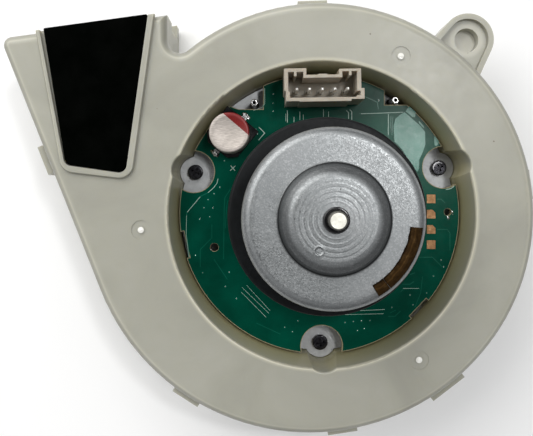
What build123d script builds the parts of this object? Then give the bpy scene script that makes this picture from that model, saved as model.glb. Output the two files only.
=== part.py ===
from build123d import *
import math
import os

# Combustion fan: snap-together plastic scroll housing with a sunk motor well,
# closed backward-curved impeller and an external-rotor brushless motor.
# Frame: millimetres, origin on the shaft axis at the intake face,
# +Z towards the motor, outlet duct on the -X side blowing towards +Y.

# ---------------------------------------------------------------- driving dimensions
H_HOUSING = 28.0          # intake face to motor-side face
Z_PART = 19.4             # parting plane between the two shells
T_FLOOR = 2.0             # lower shell floor
T_TOP = 2.0               # upper shell top wall
W_UP = 1.8                # upper shell side wall
STEP_IN = 0.7             # lower shell wall sits this far inside the upper skirt
W_LOW = 2.0               # lower shell side wall
LAP_GAP = 0.05            # clearance in the lap joint
LAP_H = 2.0               # height of the lap joint tongue
R_TOP_EDGE = 2.0          # rounding of the upper shell's outer top edge

R_CASE = 42.15            # round part of the housing
SCROLL_R2 = 46.0          # first growing arc of the scroll outline
SCROLL_A0 = -35.0         # angle where the outline starts to grow
SCROLL_PHI = -44.0        # direction of the change to the last arc
DUCT_P0 = (-48.02, -5.0)  # point on the straight outer duct wall
DUCT_U = (-0.3698, 0.9291) # its direction
DUCT_EL = (-64.09, 35.05)  # outer corner of the outlet end
DUCT_XR = -30.7           # inner duct wall, outside face
DUCT_YR = 39.7            # its end
TONGUE_R = 2.5            # concave corner between duct and round part
SPIGOT = 3.15             # how far the lower shell's lip reaches past the upper at the outlet
LIP_H = 4.6               # height of that lip
R_END = 1.7               # upright corner of the outlet's outer wall

R_WELL = 30.3             # motor well at its mouth
R_WELL_LOW = 29.2         # motor well at the circuit board and below
T_WELL = 1.5
Z_WELL = 12.9             # top of the well floor
SCREW_R = 27.35           # motor screws
SCREW_A = (20.5, 161.5, 271.0)
RELIEF_R = 3.65           # reliefs in the well wall beside the screws, at the mouth
RELIEF_LOW = 3.42         # the same at the circuit board and below

INTAKE_R = 19.0           # intake socket
INTAKE_L = 1.2
THROAT_R = 17.0
THROAT_TOP = 3.7

LUG_C = (31.6, 36.7)      # locating lug
LUG_R = 5.45
LUG_HOLE_R = 2.55
LUG_TOP = 17.0
LUG_RIM = 1.2
LUG_LOW = 10.5

R_IMP = 31.0              # impeller
N_BLADES = 11
Z_SHROUD = 3.0
Z_BLADE = 4.0
Z_BACK = 9.4
Z_BACK_TOP = 10.4

Z_PLATE = 15.0            # motor base plate
T_PLATE = 1.6
R_PLATE = 29.05
Z_PCB = 19.5              # circuit board
T_PCB = 1.6
R_PCB = 28.9

R_SHAFT = 1.5
SHAFT_LOW = 4.6
SHAFT_TOP = 57.7
TUBE_R = 6.0
TUBE_LOW = 14.2
TUBE_TOP = 46.0
BRG_R = 5.0
BRG_H = 4.0
BRG_LOW = 16.0            # bottom of the lower bearing
BRG_UP = 42.0             # bottom of the upper bearing

CUP_R = 15.3              # rotor cup
CUP_T = 0.9
CUP_OPEN = 23.5
CUP_TOP = 51.6
DOME_R1 = 9.2
DOME_R2 = 8.15
DOME_TOP = 54.6
RING_R = 18.1             # pressed flux ring
RING_Z0 = 24.2
RING_Z1 = 39.1
MAG_RI = 13.3
CORE_R = 12.9
CORE_Z0 = 27.0
CORE_Z1 = 41.0
N_TEETH = 9

os.makedirs("parts", exist_ok=True)


def put(name, shape):
    export_step(shape, f"parts/{name}.step")


def pol(r, a):
    return (r * math.cos(math.radians(a)), r * math.sin(math.radians(a)))


def cyl(r, z0, z1, x=0.0, y=0.0):
    return Pos(x, y, z0) * extrude(Circle(r), z1 - z0)


def tube(ro, ri, z0, z1, x=0.0, y=0.0):
    return Pos(x, y, z0) * extrude(Circle(ro) - Circle(ri), z1 - z0)


def box(x0, x1, y0, y1, z0, z1):
    return Pos((x0 + x1) / 2, (y0 + y1) / 2, (z0 + z1) / 2) * Box(x1 - x0, y1 - y0, z1 - z0)


def obox(cx, cy, ang, lx, ly, z0, z1):
    return Pos(cx, cy, (z0 + z1) / 2) * Rot(0, 0, ang) * Box(lx, ly, z1 - z0)


def poly(points, z0, z1):
    return Pos(0, 0, z0) * extrude(make_face(Polyline(*[(x, y) for x, y in points], close=True)), z1 - z0)


def revolved(points):
    """Solid of revolution about Z from (radius, height) points."""
    wire = Polyline(*[(r, 0, z) for r, z in points], close=True)
    return revolve(make_face(wire), Axis.Z, 360)


# ---------------------------------------------------------------- housing outline
_l = math.hypot(*DUCT_U)
UX, UY = DUCT_U[0] / _l, DUCT_U[1] / _l            # along the outer duct wall
NX, NY = UY, -UX                                    # inward normal of that wall
_c0 = (math.cos(math.radians(SCROLL_A0)), math.sin(math.radians(SCROLL_A0)))
C2 = ((R_CASE - SCROLL_R2) * _c0[0], (R_CASE - SCROLL_R2) * _c0[1])
_v = (math.cos(math.radians(SCROLL_PHI)), math.sin(math.radians(SCROLL_PHI)))
_vn = _v[0] * NX + _v[1] * NY
SCROLL_R3 = (((C2[0] - DUCT_P0[0]) * NX + (C2[1] - DUCT_P0[1]) * NY) + SCROLL_R2 * _vn) / (1 + _vn)
C3 = (C2[0] - (SCROLL_R3 - SCROLL_R2) * _v[0], C2[1] - (SCROLL_R3 - SCROLL_R2) * _v[1])
FX = DUCT_XR + TONGUE_R
FY = math.sqrt((R_CASE + TONGUE_R) ** 2 - FX ** 2)
END_DX, END_DY = DUCT_XR - DUCT_EL[0], DUCT_YR - DUCT_EL[1]
_e = math.hypot(END_DX, END_DY)
EX, EY = END_DX / _e, END_DY / _e                   # along the outlet end
OX, OY = -EY, EX                                    # out of the outlet


def outline(d=0.0, end=0.0):
    """Housing outline moved inwards by d, its outlet end moved out by end."""
    r1, r2, r3, rf = R_CASE - d, SCROLL_R2 - d, SCROLL_R3 - d, TONGUE_R + d
    af = math.degrees(math.atan2(FY, FX))
    a3 = SCROLL_PHI
    p_t = pol(r1, af)                                # tongue fillet meets the round part
    p_0 = pol(r1, SCROLL_A0)
    m_1 = pol(r1, (af + SCROLL_A0) / 2)
    p_2 = (C2[0] + pol(r2, a3)[0], C2[1] + pol(r2, a3)[1])
    m_2 = (C2[0] + pol(r2, (SCROLL_A0 + a3) / 2)[0], C2[1] + pol(r2, (SCROLL_A0 + a3) / 2)[1])
    an = math.degrees(math.atan2(-NY, -NX))          # direction to the straight wall
    p_3 = (C3[0] - r3 * NX, C3[1] - r3 * NY)
    m_3 = (C3[0] + pol(r3, (a3 + an) / 2)[0], C3[1] + pol(r3, (a3 + an) / 2)[1])
    # outlet end line: through DUCT_EL moved out by end
    qx, qy = DUCT_EL[0] + OX * end, DUCT_EL[1] + OY * end
    # corner with the outer wall
    bx, by = DUCT_P0[0] + NX * d, DUCT_P0[1] + NY * d
    det = UX * (-EY) - UY * (-EX)
    t = ((qx - bx) * (-EY) - (qy - by) * (-EX)) / det
    p_l = (bx + UX * t, by + UY * t)
    # corner with the inner wall
    xr = DUCT_XR - d
    p_r = (xr, qy + EY * (xr - qx) / EX)
    p_f = (xr, FY)
    mid = math.radians((180 + (af - 180)) / 2 + 0)
    # concave arc centred on (FX, FY) from (xr, FY) to the round part
    a_s, a_e = 180.0, af - 180.0 + 360.0
    am = (a_s + a_e) / 2
    m_f = (FX + pol(rf, am)[0], FY + pol(rf, am)[1])
    edges = [
        ThreePointArc(p_t, m_1, p_0),
        ThreePointArc(p_0, m_2, p_2),
        ThreePointArc(p_2, m_3, p_3),
        Line(p_3, p_l),
        Line(p_l, p_r),
        Line(p_r, p_f),
        ThreePointArc(p_f, m_f, p_t),
    ]
    return make_face(Wire(edges))


def slab(d, z0, z1, end=0.0):
    return Pos(0, 0, z0) * extrude(outline(d, end), z1 - z0)


def round_end(body):
    """Rounds the upright edge where the outer duct wall meets the outlet end."""
    es = [e for e in body.edges().filter_by(Axis.Z)]
    es = sorted(es, key=lambda e: e.center().X - 0.2 * e.center().Y)[:1]
    return fillet(es, R_END)


# ---------------------------------------------------------------- upper casing
up = round_end(slab(0.0, Z_PART, H_HOUSING))
# round the outer edge of the motor-side face everywhere except across the outlet
top_edges = []
for e in up.edges().filter_by(lambda e: abs(e.center().Z - H_HOUSING) < 1e-6):
    m = e @ 0.5
    dist = (m.X - DUCT_EL[0]) * OX + (m.Y - DUCT_EL[1]) * OY
    if abs(dist) > 0.05:
        top_edges.append(e)
up = fillet(top_edges, R_TOP_EDGE)
up -= slab(W_UP, Z_PART - 1, H_HOUSING - T_TOP, end=6.0)


def drafted(r_low, r_top, z0, z1):
    """Round body of radius r_low up to the board, then widening to r_top at the housing's face."""
    slope = (r_top - r_low) / (H_HOUSING - Z_PCB)
    return revolved([(0, z0), (r_low, z0), (r_low, Z_PCB), (r_low + slope * (z1 - Z_PCB), z1), (0, z1)])


well_out = drafted(R_WELL_LOW + T_WELL, R_WELL + T_WELL, Z_WELL - T_WELL, H_HOUSING - T_TOP / 2)
for a in SCREW_A:
    x, y = pol(SCREW_R, a)
    well_out += Pos(x, y, 0) * drafted(RELIEF_LOW + T_WELL, RELIEF_R + T_WELL, Z_WELL - T_WELL, H_HOUSING - T_TOP / 2)
up += well_out
well_in = drafted(R_WELL_LOW, R_WELL, Z_WELL, H_HOUSING + 1)
for a in SCREW_A:
    x, y = pol(SCREW_R, a)
    well_in += Pos(x, y, 0) * drafted(RELIEF_LOW, RELIEF_R, Z_WELL, H_HOUSING + 1)
up -= well_in
up -= cyl(5.0, Z_WELL - T_WELL - 1, Z_WELL + 1)
# screw bosses on the well floor
for a in SCREW_A:
    x, y = pol(SCREW_R, a)
    up += cyl(2.6, Z_WELL - 0.5, Z_PLATE, x, y)
    up -= cyl(1.0, Z_WELL - T_WELL + 0.5, Z_PLATE + 1, x, y)
# ledges that carry the circuit board
LEDGE_A = (40.0, 84.0, 140.0, 212.0, 242.0, 298.0, 340.0)
for a in LEDGE_A:
    x, y = pol(28.8, a)
    up += obox(x, y, a, 1.8, 4.0, Z_WELL - 0.3, Z_PCB)
# chamfered mouth of the well
rim_edges = [e for e in up.edges() if abs(e.center().Z - H_HOUSING) < 1e-6
             and 20 < math.hypot((e @ 0.5).X, (e @ 0.5).Y) < 31.6]
up = fillet(rim_edges, 0.5)

# recess and surrounding ridge for the outlet pad
PAD = [(-54.8, 36.65), (-34.3, 39.45), (-38.7, 8.2), (-50.4, 9.9)]   # TL TR BR BL


def pad_face(grow, open_end, left=None):
    tl, tr, br, bl = PAD
    left = grow if left is None else left
    tl = (tl[0] - left, tl[1])
    tr = (tr[0] + grow, tr[1])
    br = (br[0] + grow * 0.95, br[1] - grow)
    bl = (bl[0] - left * 0.80, bl[1] - grow * 1.05)
    if open_end:
        tl = (tl[0] - 0.38 * 3, tl[1] + 3)
        tr = (tr[0] + 0.14 * 3, tr[1] + 3)
    return make_face(Polyline(tl, tr, br, bl, close=True))


def round_low(face, r):
    vs = sorted(face.vertices(), key=lambda v: v.Y)[:2]
    return fillet(vs, r)


inner2d = round_low(pad_face(0.15, True), 1.6)
outer2d = round_low(pad_face(1.4, True, 1.0), 2.9)
keep = slab(0.6, H_HOUSING - 3, H_HOUSING + 3, end=0.0)
ridge = Pos(0, 0, H_HOUSING - 0.5) * extrude(outer2d, 1.3)
try:
    es = [e for e in ridge.edges() if abs(e.center().Z - (H_HOUSING + 0.8)) < 1e-6]
    ridge = fillet(es, 0.45)
except Exception:
    pass
ridge &= keep
up += ridge
up -= Pos(0, 0, H_HOUSING - 0.4) * extrude(inner2d, 5)
# gate marks: shallow ring with a nub
for gx, gy in ((-35.7, -3.0), (15.5, 31.25), (19.1, -28.6)):
    up -= tube(1.9, 0.75, H_HOUSING - 0.15, H_HOUSING + 1, gx, gy)

# cut-off wall and inner scroll wall, shared section for both shells
TH0, TH1 = 134.0, -16.0
RS0, RS1 = 33.9, 39.7
W_SC = 1.4


def spiral_r(t):
    return RS0 + (RS1 - RS0) * (TH0 - t) / (TH0 - TH1)


n = 16
inner_pts = [pol(spiral_r(TH0 + (TH1 - TH0) * i / n), TH0 + (TH1 - TH0) * i / n) for i in range(n + 1)]
outer_pts = [pol(min(spiral_r(TH0 + (TH1 - TH0) * i / n) + W_SC, 40.9), TH0 + (TH1 - TH0) * i / n)
             for i in range(n + 1)]
nose_in = inner_pts[0]
duct_top = (-32.9, 37.0)
duct_top2 = (-31.9, 37.0)
nose = (-25.3, 22.9)
# closed band: out along the inside, back along the outside, then the duct leg
scroll2d = make_face(Wire([
    Spline(*inner_pts),
    Line(inner_pts[-1], outer_pts[-1]),
    Spline(*outer_pts[::-1]),
    Line(outer_pts[0], (-31.6, 33.0)),
    Line((-31.6, 33.0), duct_top2),
    Line(duct_top2, duct_top),
    Line(duct_top, (-33.0, 33.0)),
    Line((-33.0, 33.0), (-26.4, 23.3)),
    Line((-26.4, 23.3), nose_in),
]))


def scroll_wall(z0, z1):
    return Pos(0, 0, z0) * extrude(scroll2d, z1 - z0)


up += scroll_wall(Z_PART + 0.0, H_HOUSING - T_TOP + 0.4) & slab(0.5, Z_PART, H_HOUSING - 0.5)


# snap loops on the skirt and catches on the lower wall
def on_outline(kind, val):
    """Point on the outer outline and its outward direction (degrees)."""
    if kind == "duct":
        s = (val - DUCT_P0[1]) / UY
        return DUCT_P0[0] + UX * s, val, math.degrees(math.atan2(-NY, -NX))
    if val > SCROLL_A0:
        x, y = pol(R_CASE, val)
        return x, y, val
    d = pol(1, val)
    b = d[0] * C3[0] + d[1] * C3[1]
    r = b + math.sqrt(b * b - (C3[0] ** 2 + C3[1] ** 2 - SCROLL_R3 ** 2))
    x, y = r * d[0], r * d[1]
    return x, y, math.degrees(math.atan2(y - C3[1], x - C3[0]))


CLIPS = [("duct", 11.4, 24.0, 1.8, 6.0), ("ang", 92.0, 22.5, 1.5, 6.0), ("ang", 8.0, 22.5, 1.5, 6.0),
         ("ang", -53.7, 23.5, 1.85, 8.0), ("ang", -84.2, 23.5, 1.6, 6.0), ("ang", -126.3, 23.5, 1.6, 6.0)]
low_clips = []
for kind, val, ztop, proud, wide in CLIPS:
    x, y, a = on_outline(kind, val)
    ox, oy = math.cos(math.radians(a)), math.sin(math.radians(a))
    # loop: plate standing proud of the skirt and hanging down over the lower wall
    t_pl = proud + 0.2
    cx, cy = x + ox * (proud - t_pl / 2), y + oy * (proud - t_pl / 2)
    loop = obox(cx, cy, a, t_pl, wide, 11.0, ztop)
    loop += obox(x + ox * (proud / 2 - 0.75), y + oy * (proud / 2 - 0.75), a, proud + 0.9, wide - 0.1, Z_PART + 0.2, ztop - 0.1)
    loop -= obox(cx, cy, a, 6.0, wide - 2.6, 13.0, Z_PART - 0.6)
    up += loop
    # catch: wedge that fills the loop's window
    cz0, cz1 = 14.0, Z_PART - 0.9
    bx, by = x - ox * STEP_IN, y - oy * STEP_IN
    wedge = obox(bx + ox * 0.55, by + oy * 0.55, a, 1.9, wide - 3.0, cz0, cz1)
    low_clips.append(wedge)
put("upper_casing", up)

# ---------------------------------------------------------------- lower casing
low = slab(STEP_IN, 0.0, Z_PART, end=0.0)
low = round_end(low)
lip = slab(STEP_IN, 0.0, LIP_H, end=SPIGOT)
lip = round_end(lip)
low += lip
low = fillet([e for e in low.edges() if abs(e.center().Z) < 1e-6
              and abs(((e @ 0.5).X - DUCT_EL[0]) * OX + ((e @ 0.5).Y - DUCT_EL[1]) * OY - SPIGOT) > 0.05], 0.8)
low -= slab(STEP_IN + W_LOW, T_FLOOR, Z_PART + 1, end=8.0)
tongue = slab(W_UP + LAP_GAP, Z_PART - 1.0, Z_PART + LAP_H, end=-0.6)
tongue -= slab(STEP_IN + W_LOW, Z_PART - 2.0, Z_PART + LAP_H + 1, end=8.0)
# the tongue stops where the upper shell's cut-off and scroll walls come down
tongue -= box(-37.0, -24.0, 24.0, 45.0, Z_PART, Z_PART + LAP_H + 1)
tongue -= poly([(0, 0), pol(60, -21.0), pol(60, 5.0), pol(60, 33.0)], Z_PART, Z_PART + LAP_H + 1)
low += tongue
low += scroll_wall(T_FLOOR - 0.5, Z_PART) & slab(STEP_IN + 0.5, T_FLOOR - 0.5, Z_PART, end=SPIGOT)
for w in low_clips:
    low += w
# locating lug with a raised rim
lx, ly = LUG_C
la = math.degrees(math.atan2(ly, lx))
LUG_DIR = (math.cos(math.radians(la)), math.sin(math.radians(la)))
LUG_PERP = (-LUG_DIR[1], LUG_DIR[0])


def lug_face(r, extra):
    back = 12.0
    p1 = (lx + LUG_PERP[0] * r, ly + LUG_PERP[1] * r)
    p2 = (p1[0] - LUG_DIR[0] * back, p1[1] - LUG_DIR[1] * back)
    da = math.radians(la + 180 + 16)
    tang = (math.cos(math.radians(la - 90 + 16)) * r, math.sin(math.radians(la - 90 + 16)) * r)
    p3 = (lx + tang[0], ly + tang[1])
    p4 = (p3[0] + math.cos(da) * back, p3[1] + math.sin(da) * back)
    return Pos(lx, ly) * Circle(r) + make_face(Polyline(p1, p2, p4, p3, close=True))


lug = Pos(0, 0, LUG_LOW) * extrude(lug_face(LUG_R, 0), LUG_TOP - LUG_LOW)
lug += Pos(0, 0, LUG_TOP - 0.01) * extrude(lug_face(LUG_R, 0) - lug_face(LUG_R - 1.1, 0), LUG_RIM + 0.01)
hole = cyl(LUG_HOLE_R, LUG_TOP - 2.3, LUG_TOP + 2, lx, ly)
lug -= fillet([e for e in hole.edges() if e.center().Z < LUG_TOP - 2.2], 0.45)
lug -= slab(STEP_IN + 0.8, LUG_LOW - 1, H_HOUSING)
low += lug
# intake: socket, rounded throat and inner lip
low += cyl(THROAT_R + 1.2, T_FLOOR - 0.5, THROAT_TOP)
low -= cyl(THROAT_R, -1, THROAT_TOP + 1)
low -= cyl(INTAKE_R, -1, INTAKE_L)
thr = [e for e in low.edges() if abs(e.center().Z - INTAKE_L) < 1e-6
       and abs(math.hypot((e @ 0.25).X, (e @ 0.25).Y) - THROAT_R) < 1e-3]
if thr:
    low = fillet(thr, 1.0)
put("lower_casing", low)

# ---------------------------------------------------------------- outlet pad
pad2d = round_low(pad_face(0.0, False), 1.4)
pad = Pos(0, 0, H_HOUSING - 0.4) * extrude(pad2d, 0.9)
try:
    pad = fillet([e for e in pad.edges() if abs(e.center().Z - (H_HOUSING + 0.5)) < 1e-6], 0.2)
except Exception:
    pass
put("outlet_pad", pad)

# ---------------------------------------------------------------- motor base plate and screws
plate = cyl(R_PLATE, Z_PLATE, Z_PLATE + T_PLATE)
for a in SCREW_A:
    x, y = pol(SCREW_R, a)
    plate += cyl(3.3, Z_PLATE, Z_PLATE + T_PLATE, x, y)
plate -= cyl(TUBE_R, Z_PLATE - 1, Z_PLATE + 5)
# notches that clear the board's ledges
for a in LEDGE_A:
    x, y = pol(29.6, a)
    plate -= obox(x, y, a, 3.9, 4.6, Z_PLATE - 1, Z_PLATE + 5)
for a in SCREW_A:
    x, y = pol(SCREW_R, a)
    plate -= cyl(1.25, Z_PLATE - 1, Z_PLATE + 5, x, y)
# the board's locating pins pass through the plate
PINS = [(-13.45, 22.9), (15.65, 23.4)]
for x, y in PINS:
    plate -= cyl(1.0, Z_PLATE - 1, Z_PLATE + 5, x, y)
put("motor_base_plate", plate)

screws = []
for a in SCREW_A:
    x, y = pol(SCREW_R, a)
    z = Z_PLATE + T_PLATE
    s = cyl(1.6, z, z + 1.2, x, y)
    s = fillet([e for e in s.edges() if abs(e.center().Z - z - 1.2) < 1e-6], 0.45)
    s += cyl(1.0, Z_WELL - T_WELL + 0.6, z + 0.1, x, y)
    s -= obox(x, y, a + 20, 1.7, 0.36, z + 0.65, z + 2)
    s -= obox(x, y, a + 110, 1.7, 0.36, z + 0.65, z + 2)
    screws.append(s)
put("motor_screws", Compound(children=screws))

pins = []
for x, y in PINS:
    p = tube(0.75, 0.28, Z_WELL, Z_PCB + T_PCB + 0.5, x, y)
    pins.append(p)
put("locating_pins", Compound(children=pins))

# ---------------------------------------------------------------- bearing tube and bearings
brg_shoulder_low = BRG_LOW + BRG_H + 0.9
bt = tube(TUBE_R, 4.2, TUBE_LOW, TUBE_TOP)
bt -= cyl(BRG_R, TUBE_LOW - 1, brg_shoulder_low)
bt -= cyl(BRG_R, BRG_UP, TUBE_TOP + 1)
put("bearing_tube", bt)

BALL_R = 0.794
BALL_PCR = 3.25
N_BALLS = 7


def bearing(prefix, z0):
    zc = z0 + BRG_H / 2
    groove_r = 0.84
    outer = tube(BRG_R, 3.85, z0, z0 + BRG_H) - Pos(0, 0, zc) * Torus(BALL_PCR, groove_r)
    # shield seats
    outer -= tube(4.15, 3.0, z0 + 0.15, z0 + 0.45)
    outer -= tube(4.15, 3.0, z0 + BRG_H - 0.45, z0 + BRG_H - 0.15)
    inner = tube(2.65, R_SHAFT, z0, z0 + BRG_H) - Pos(0, 0, zc) * Torus(BALL_PCR, groove_r)
    put(prefix + "_bearing_outer_race", outer)
    put(prefix + "_bearing_inner_race", inner)
    shields = [tube(4.15, 2.8, z0 + 0.17, z0 + 0.43), tube(4.15, 2.8, z0 + BRG_H - 0.43, z0 + BRG_H - 0.17)]
    put(prefix + "_bearing_shields", Compound(children=shields))
    balls = []
    cage = tube(3.62, 2.88, zc - 0.95, zc + 0.25)
    for i in range(N_BALLS):
        x, y = pol(BALL_PCR, i * 360 / N_BALLS)
        balls.append(Pos(x, y, zc) * Sphere(BALL_R))
        cage -= Pos(x, y, zc) * Sphere(BALL_R + 0.03)
    put(prefix + "_bearing_balls", Compound(children=balls))
    put(prefix + "_bearing_cage", cage)


bearing("lower", BRG_LOW)
bearing("upper", BRG_UP)

# wave washer that preloads the lower bearing
zw = BRG_LOW + BRG_H
washer = tube(4.85, 4.3, zw + 0.35, zw + 0.55)
for i in range(3):
    x, y = pol(4.575, i * 120)
    washer += (obox(x, y, i * 120, 0.5, 2.2, zw, zw + 0.45) & tube(4.85, 4.3, zw, zw + 1))
    x, y = pol(4.575, i * 120 + 60)
    washer += (obox(x, y, i * 120 + 60, 0.5, 2.2, zw + 0.45, zw + 0.9) & tube(4.85, 4.3, zw, zw + 1))
put("preload_washer", washer)

# ---------------------------------------------------------------- shaft
shaft = cyl(R_SHAFT, SHAFT_LOW, SHAFT_TOP)
shaft = chamfer([e for e in shaft.edges() if e.center().Z > SHAFT_TOP - 0.01 or e.center().Z < SHAFT_LOW + 0.01], 0.25)
shaft -= tube(R_SHAFT + 1, 1.2, 15.3, 15.8)          # groove for the retaining clip
put("motor_shaft", shaft)
clip = tube(2.4, 1.2, 15.32, 15.78) - box(0.0, 4.0, -1.1, 1.1, 15, 16)
put("shaft_clip", clip)

# ---------------------------------------------------------------- stator
pitch = 360 / N_TEETH
core = Circle(7.6)
for i in range(N_TEETH):
    core += Rot(0, 0, i * pitch) * Pos(9.6, 0) * Rectangle(5.0, 2.2)
shoe = (Circle(CORE_R) - Circle(11.75))
shoe2 = None
for i in range(N_TEETH):
    w = 2 * CORE_R * math.sin(math.radians(16.4))
    seg = shoe & (Rot(0, 0, i * pitch) * Pos(12.3, 0) * Rectangle(2.6, w))
    core += seg
core -= Circle(TUBE_R)
put("stator_core", Pos(0, 0, CORE_Z0) * extrude(core, CORE_Z1 - CORE_Z0))


def insulator(z0, z1, rim0, rim1):
    s = Circle(7.5)
    for i in range(N_TEETH):
        s += Rot(0, 0, i * pitch) * Pos(9.6, 0) * Rectangle(4.9, 2.1)
        s += (Circle(12.7) - Circle(11.8)) & (Rot(0, 0, i * pitch) * Pos(12.2, 0) * Rectangle(2.6, 6.4))
    s -= Circle(TUBE_R)
    part = Pos(0, 0, z0) * extrude(s, z1 - z0)
    rims = None
    for i in range(N_TEETH):
        r = (Circle(12.6) - Circle(11.9)) & (Rot(0, 0, i * pitch) * Pos(12.2, 0) * Rectangle(2.6, 4.4))
        part += Pos(0, 0, rim0) * extrude(r, rim1 - rim0)
    return part


ins_up = insulator(CORE_Z1, CORE_Z1 + 0.8, CORE_Z1 + 0.5, 43.6)
ins_low = insulator(CORE_Z0 - 0.8, CORE_Z0, 24.4, CORE_Z0 - 0.5)
ins_low += tube(7.5, TUBE_R, 23.4, CORE_Z0 - 0.5)
ins_low += tube(11.6, TUBE_R, 23.4, 24.2)
put("stator_insulator_upper", ins_up)
put("stator_insulator_lower", ins_low)

coils = []
for i in range(N_TEETH):
    c = Pos(9.82, 0, 34.0) * Box(2.9, 5.0, 18.2)
    c = fillet(c.edges().filter_by(Axis.X), 1.3)
    c -= Pos(9.82, 0, 34.0) * Box(6.0, 2.3, 15.7)
    coils.append(Rot(0, 0, i * pitch) * c)
put("stator_windings", Compound(children=coils))

TERM_A = (20.0, 60.0, 100.0, 140.0)
terms = []
for a in TERM_A:
    x, y = pol(10.3, a)
    terms.append(cyl(0.35, Z_PCB - 0.9, 23.4, x, y))
put("winding_terminals", Compound(children=terms))

# ---------------------------------------------------------------- circuit board
pcb2d = Circle(R_PCB)
for a in SCREW_A:
    pcb2d -= Pos(*pol(27.4, a)) * Circle(4.3)
# corner reliefs for the two locating pins
pcb2d -= make_face(Polyline((-18.6, 22.3), (-16.7, 21.6), (-11.6, 21.6), (-11.6, 30), (-18.6, 30), close=True))
pcb2d -= make_face(Polyline((13.5, 22.5), (18.6, 22.5), (18.6, 30), (13.5, 30), close=True))
# shallow flats on the rim
pcb2d -= Pos(*pol(30.6, 193)) * Rot(0, 0, 193) * Rectangle(5.0, 5.6)
pcb2d -= Pos(*pol(30.6, 316.5)) * Rot(0, 0, 316.5) * Rectangle(5.0, 5.0)
pcb2d -= Circle(6.3)
for x, y, r in ((-21.7, -6.95, 0.85), (26.55, 0.35, 0.75), (20.2, 9.5, 0.4)):
    pcb2d -= Pos(x, y) * Circle(r)
for a in TERM_A:
    pcb2d -= Pos(*pol(10.3, a)) * Circle(0.45)
PIN_X = [-5.0, -2.5, 0.0, 2.5, 5.0]
PIN_Y = 24.66
for x in PIN_X:
    pcb2d -= Pos(x, PIN_Y) * Circle(0.45)
put("circuit_board", Pos(0, 0, Z_PCB) * extrude(pcb2d, T_PCB))
ZB = Z_PCB + T_PCB

# ---------------------------------------------------------------- header
CH = 9.2                  # header height above the board
PIN_H = 8.0
CON_C = (0.0, 25.3)
CON_TURN = 0.9            # the header sits slightly turned on the board
con_out = [(-7.2, 22.15), (-4.6, 22.15), (-4.6, 22.03), (5.45, 22.03), (5.45, 22.4), (8.0, 22.4), (8.0, 24.5),
           (7.4, 24.5), (7.4, 28.3), (3.15, 28.3), (3.15, 27.2), (0.95, 27.2), (0.75, 27.38), (-0.75, 27.38),
           (-0.95, 27.2), (-3.2, 27.2), (-3.2, 28.5), (-7.5, 28.5), (-7.5, 24.2), (-7.2, 24.0)]
con_in = [(-6.45, 22.8), (6.5, 22.8), (6.5, 23.1), (7.25, 23.1), (7.25, 24.0), (6.6, 24.0), (6.6, 27.8), (3.75, 27.8),
          (3.75, 26.62), (-3.8, 26.62), (-3.8, 27.8), (-6.75, 27.8), (-6.75, 24.1), (-6.45, 23.9)]


def con_place(shape):
    return Pos(CON_C[0], CON_C[1], 0) * Rot(0, 0, CON_TURN) * Pos(-CON_C[0], -CON_C[1], 0) * shape


con = poly(con_out, ZB, ZB + CH)
con -= poly(con_in, ZB + 1.8, ZB + CH + 1)
for x in (-5.35, 5.25):
    con += box(x - 0.2, x + 0.2, 27.0, 28.0, ZB + 1.5, ZB + CH - 0.3)
for x in PIN_X:
    con -= box(x - 0.33, x + 0.33, PIN_Y - 0.33, PIN_Y + 0.33, ZB - 1, ZB + 4)
put("connector_housing", con_place(con))
cpins = []
for x in PIN_X:
    p = box(x - 0.32, x + 0.32, PIN_Y - 0.32, PIN_Y + 0.32, ZB, ZB + PIN_H)
    p = chamfer([e for e in p.edges() if abs(e.center().Z - ZB - PIN_H) < 1e-6], 0.16)
    p += cyl(0.3, Z_PCB - 1.6, ZB + 0.1, x, PIN_Y)
    cpins.append(con_place(p))
put("connector_pins", Compound(children=cpins))

# ---------------------------------------------------------------- capacitor
CAP_X, CAP_Y, CAP_A = -18.35, 16.3, 50.6
CAP_Z0 = ZB + 0.9
can = revolved([(0, CAP_Z0), (3.75, CAP_Z0), (4.0, CAP_Z0 + 0.25), (4.0, CAP_Z0 + 0.9), (3.8, CAP_Z0 + 1.15),
                (4.0, CAP_Z0 + 1.4), (4.0, ZB + 5.9), (3.7, ZB + 6.2), (0, ZB + 6.2)])
put("capacitor_can", Pos(CAP_X, CAP_Y, 0) * can)
cb = Pos(CAP_X, CAP_Y, ZB + 0.45) * Rot(0, 0, CAP_A) * Box(8.3, 8.3, 0.9)
cb = chamfer([e for e in cb.edges().filter_by(Axis.Z)
              if (e.center().X - CAP_X) * math.cos(math.radians(CAP_A)) + (e.center().Y - CAP_Y) * math.sin(math.radians(CAP_A)) < 0], 1.6)
term_pocket = Pos(CAP_X, CAP_Y, ZB + 0.15) * Rot(0, 0, CAP_A) * Box(20.0, 1.5, 0.32)
cb -= term_pocket
put("capacitor_base", cb)
cts = []
for s in (-1, 1):
    cts.append(Pos(CAP_X, CAP_Y, ZB + 0.15) * Rot(0, 0, CAP_A) * Pos(s * 3.4, 0, 0) * Box(4.3, 1.4, 0.3))
put("capacitor_terminals", Compound(children=cts))

# ---------------------------------------------------------------- small parts on the board
pads = []
for y in (3.06, -0.09, -3.25, -6.39):
    pads.append(box(23.1 - 0.9, 23.1 + 0.9, y - 0.9, y + 0.9, ZB, ZB + 0.06))
put("test_pads", Compound(children=pads))

hall = []
for a in (-30.0, 10.0, 50.0):
    x, y = pol(13.6, a)
    h = obox(x, y, a, 1.7, 3.0, ZB, ZB + 1.1)
    hall.append(h)
put("hall_sensors", Compound(children=hall))

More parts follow.
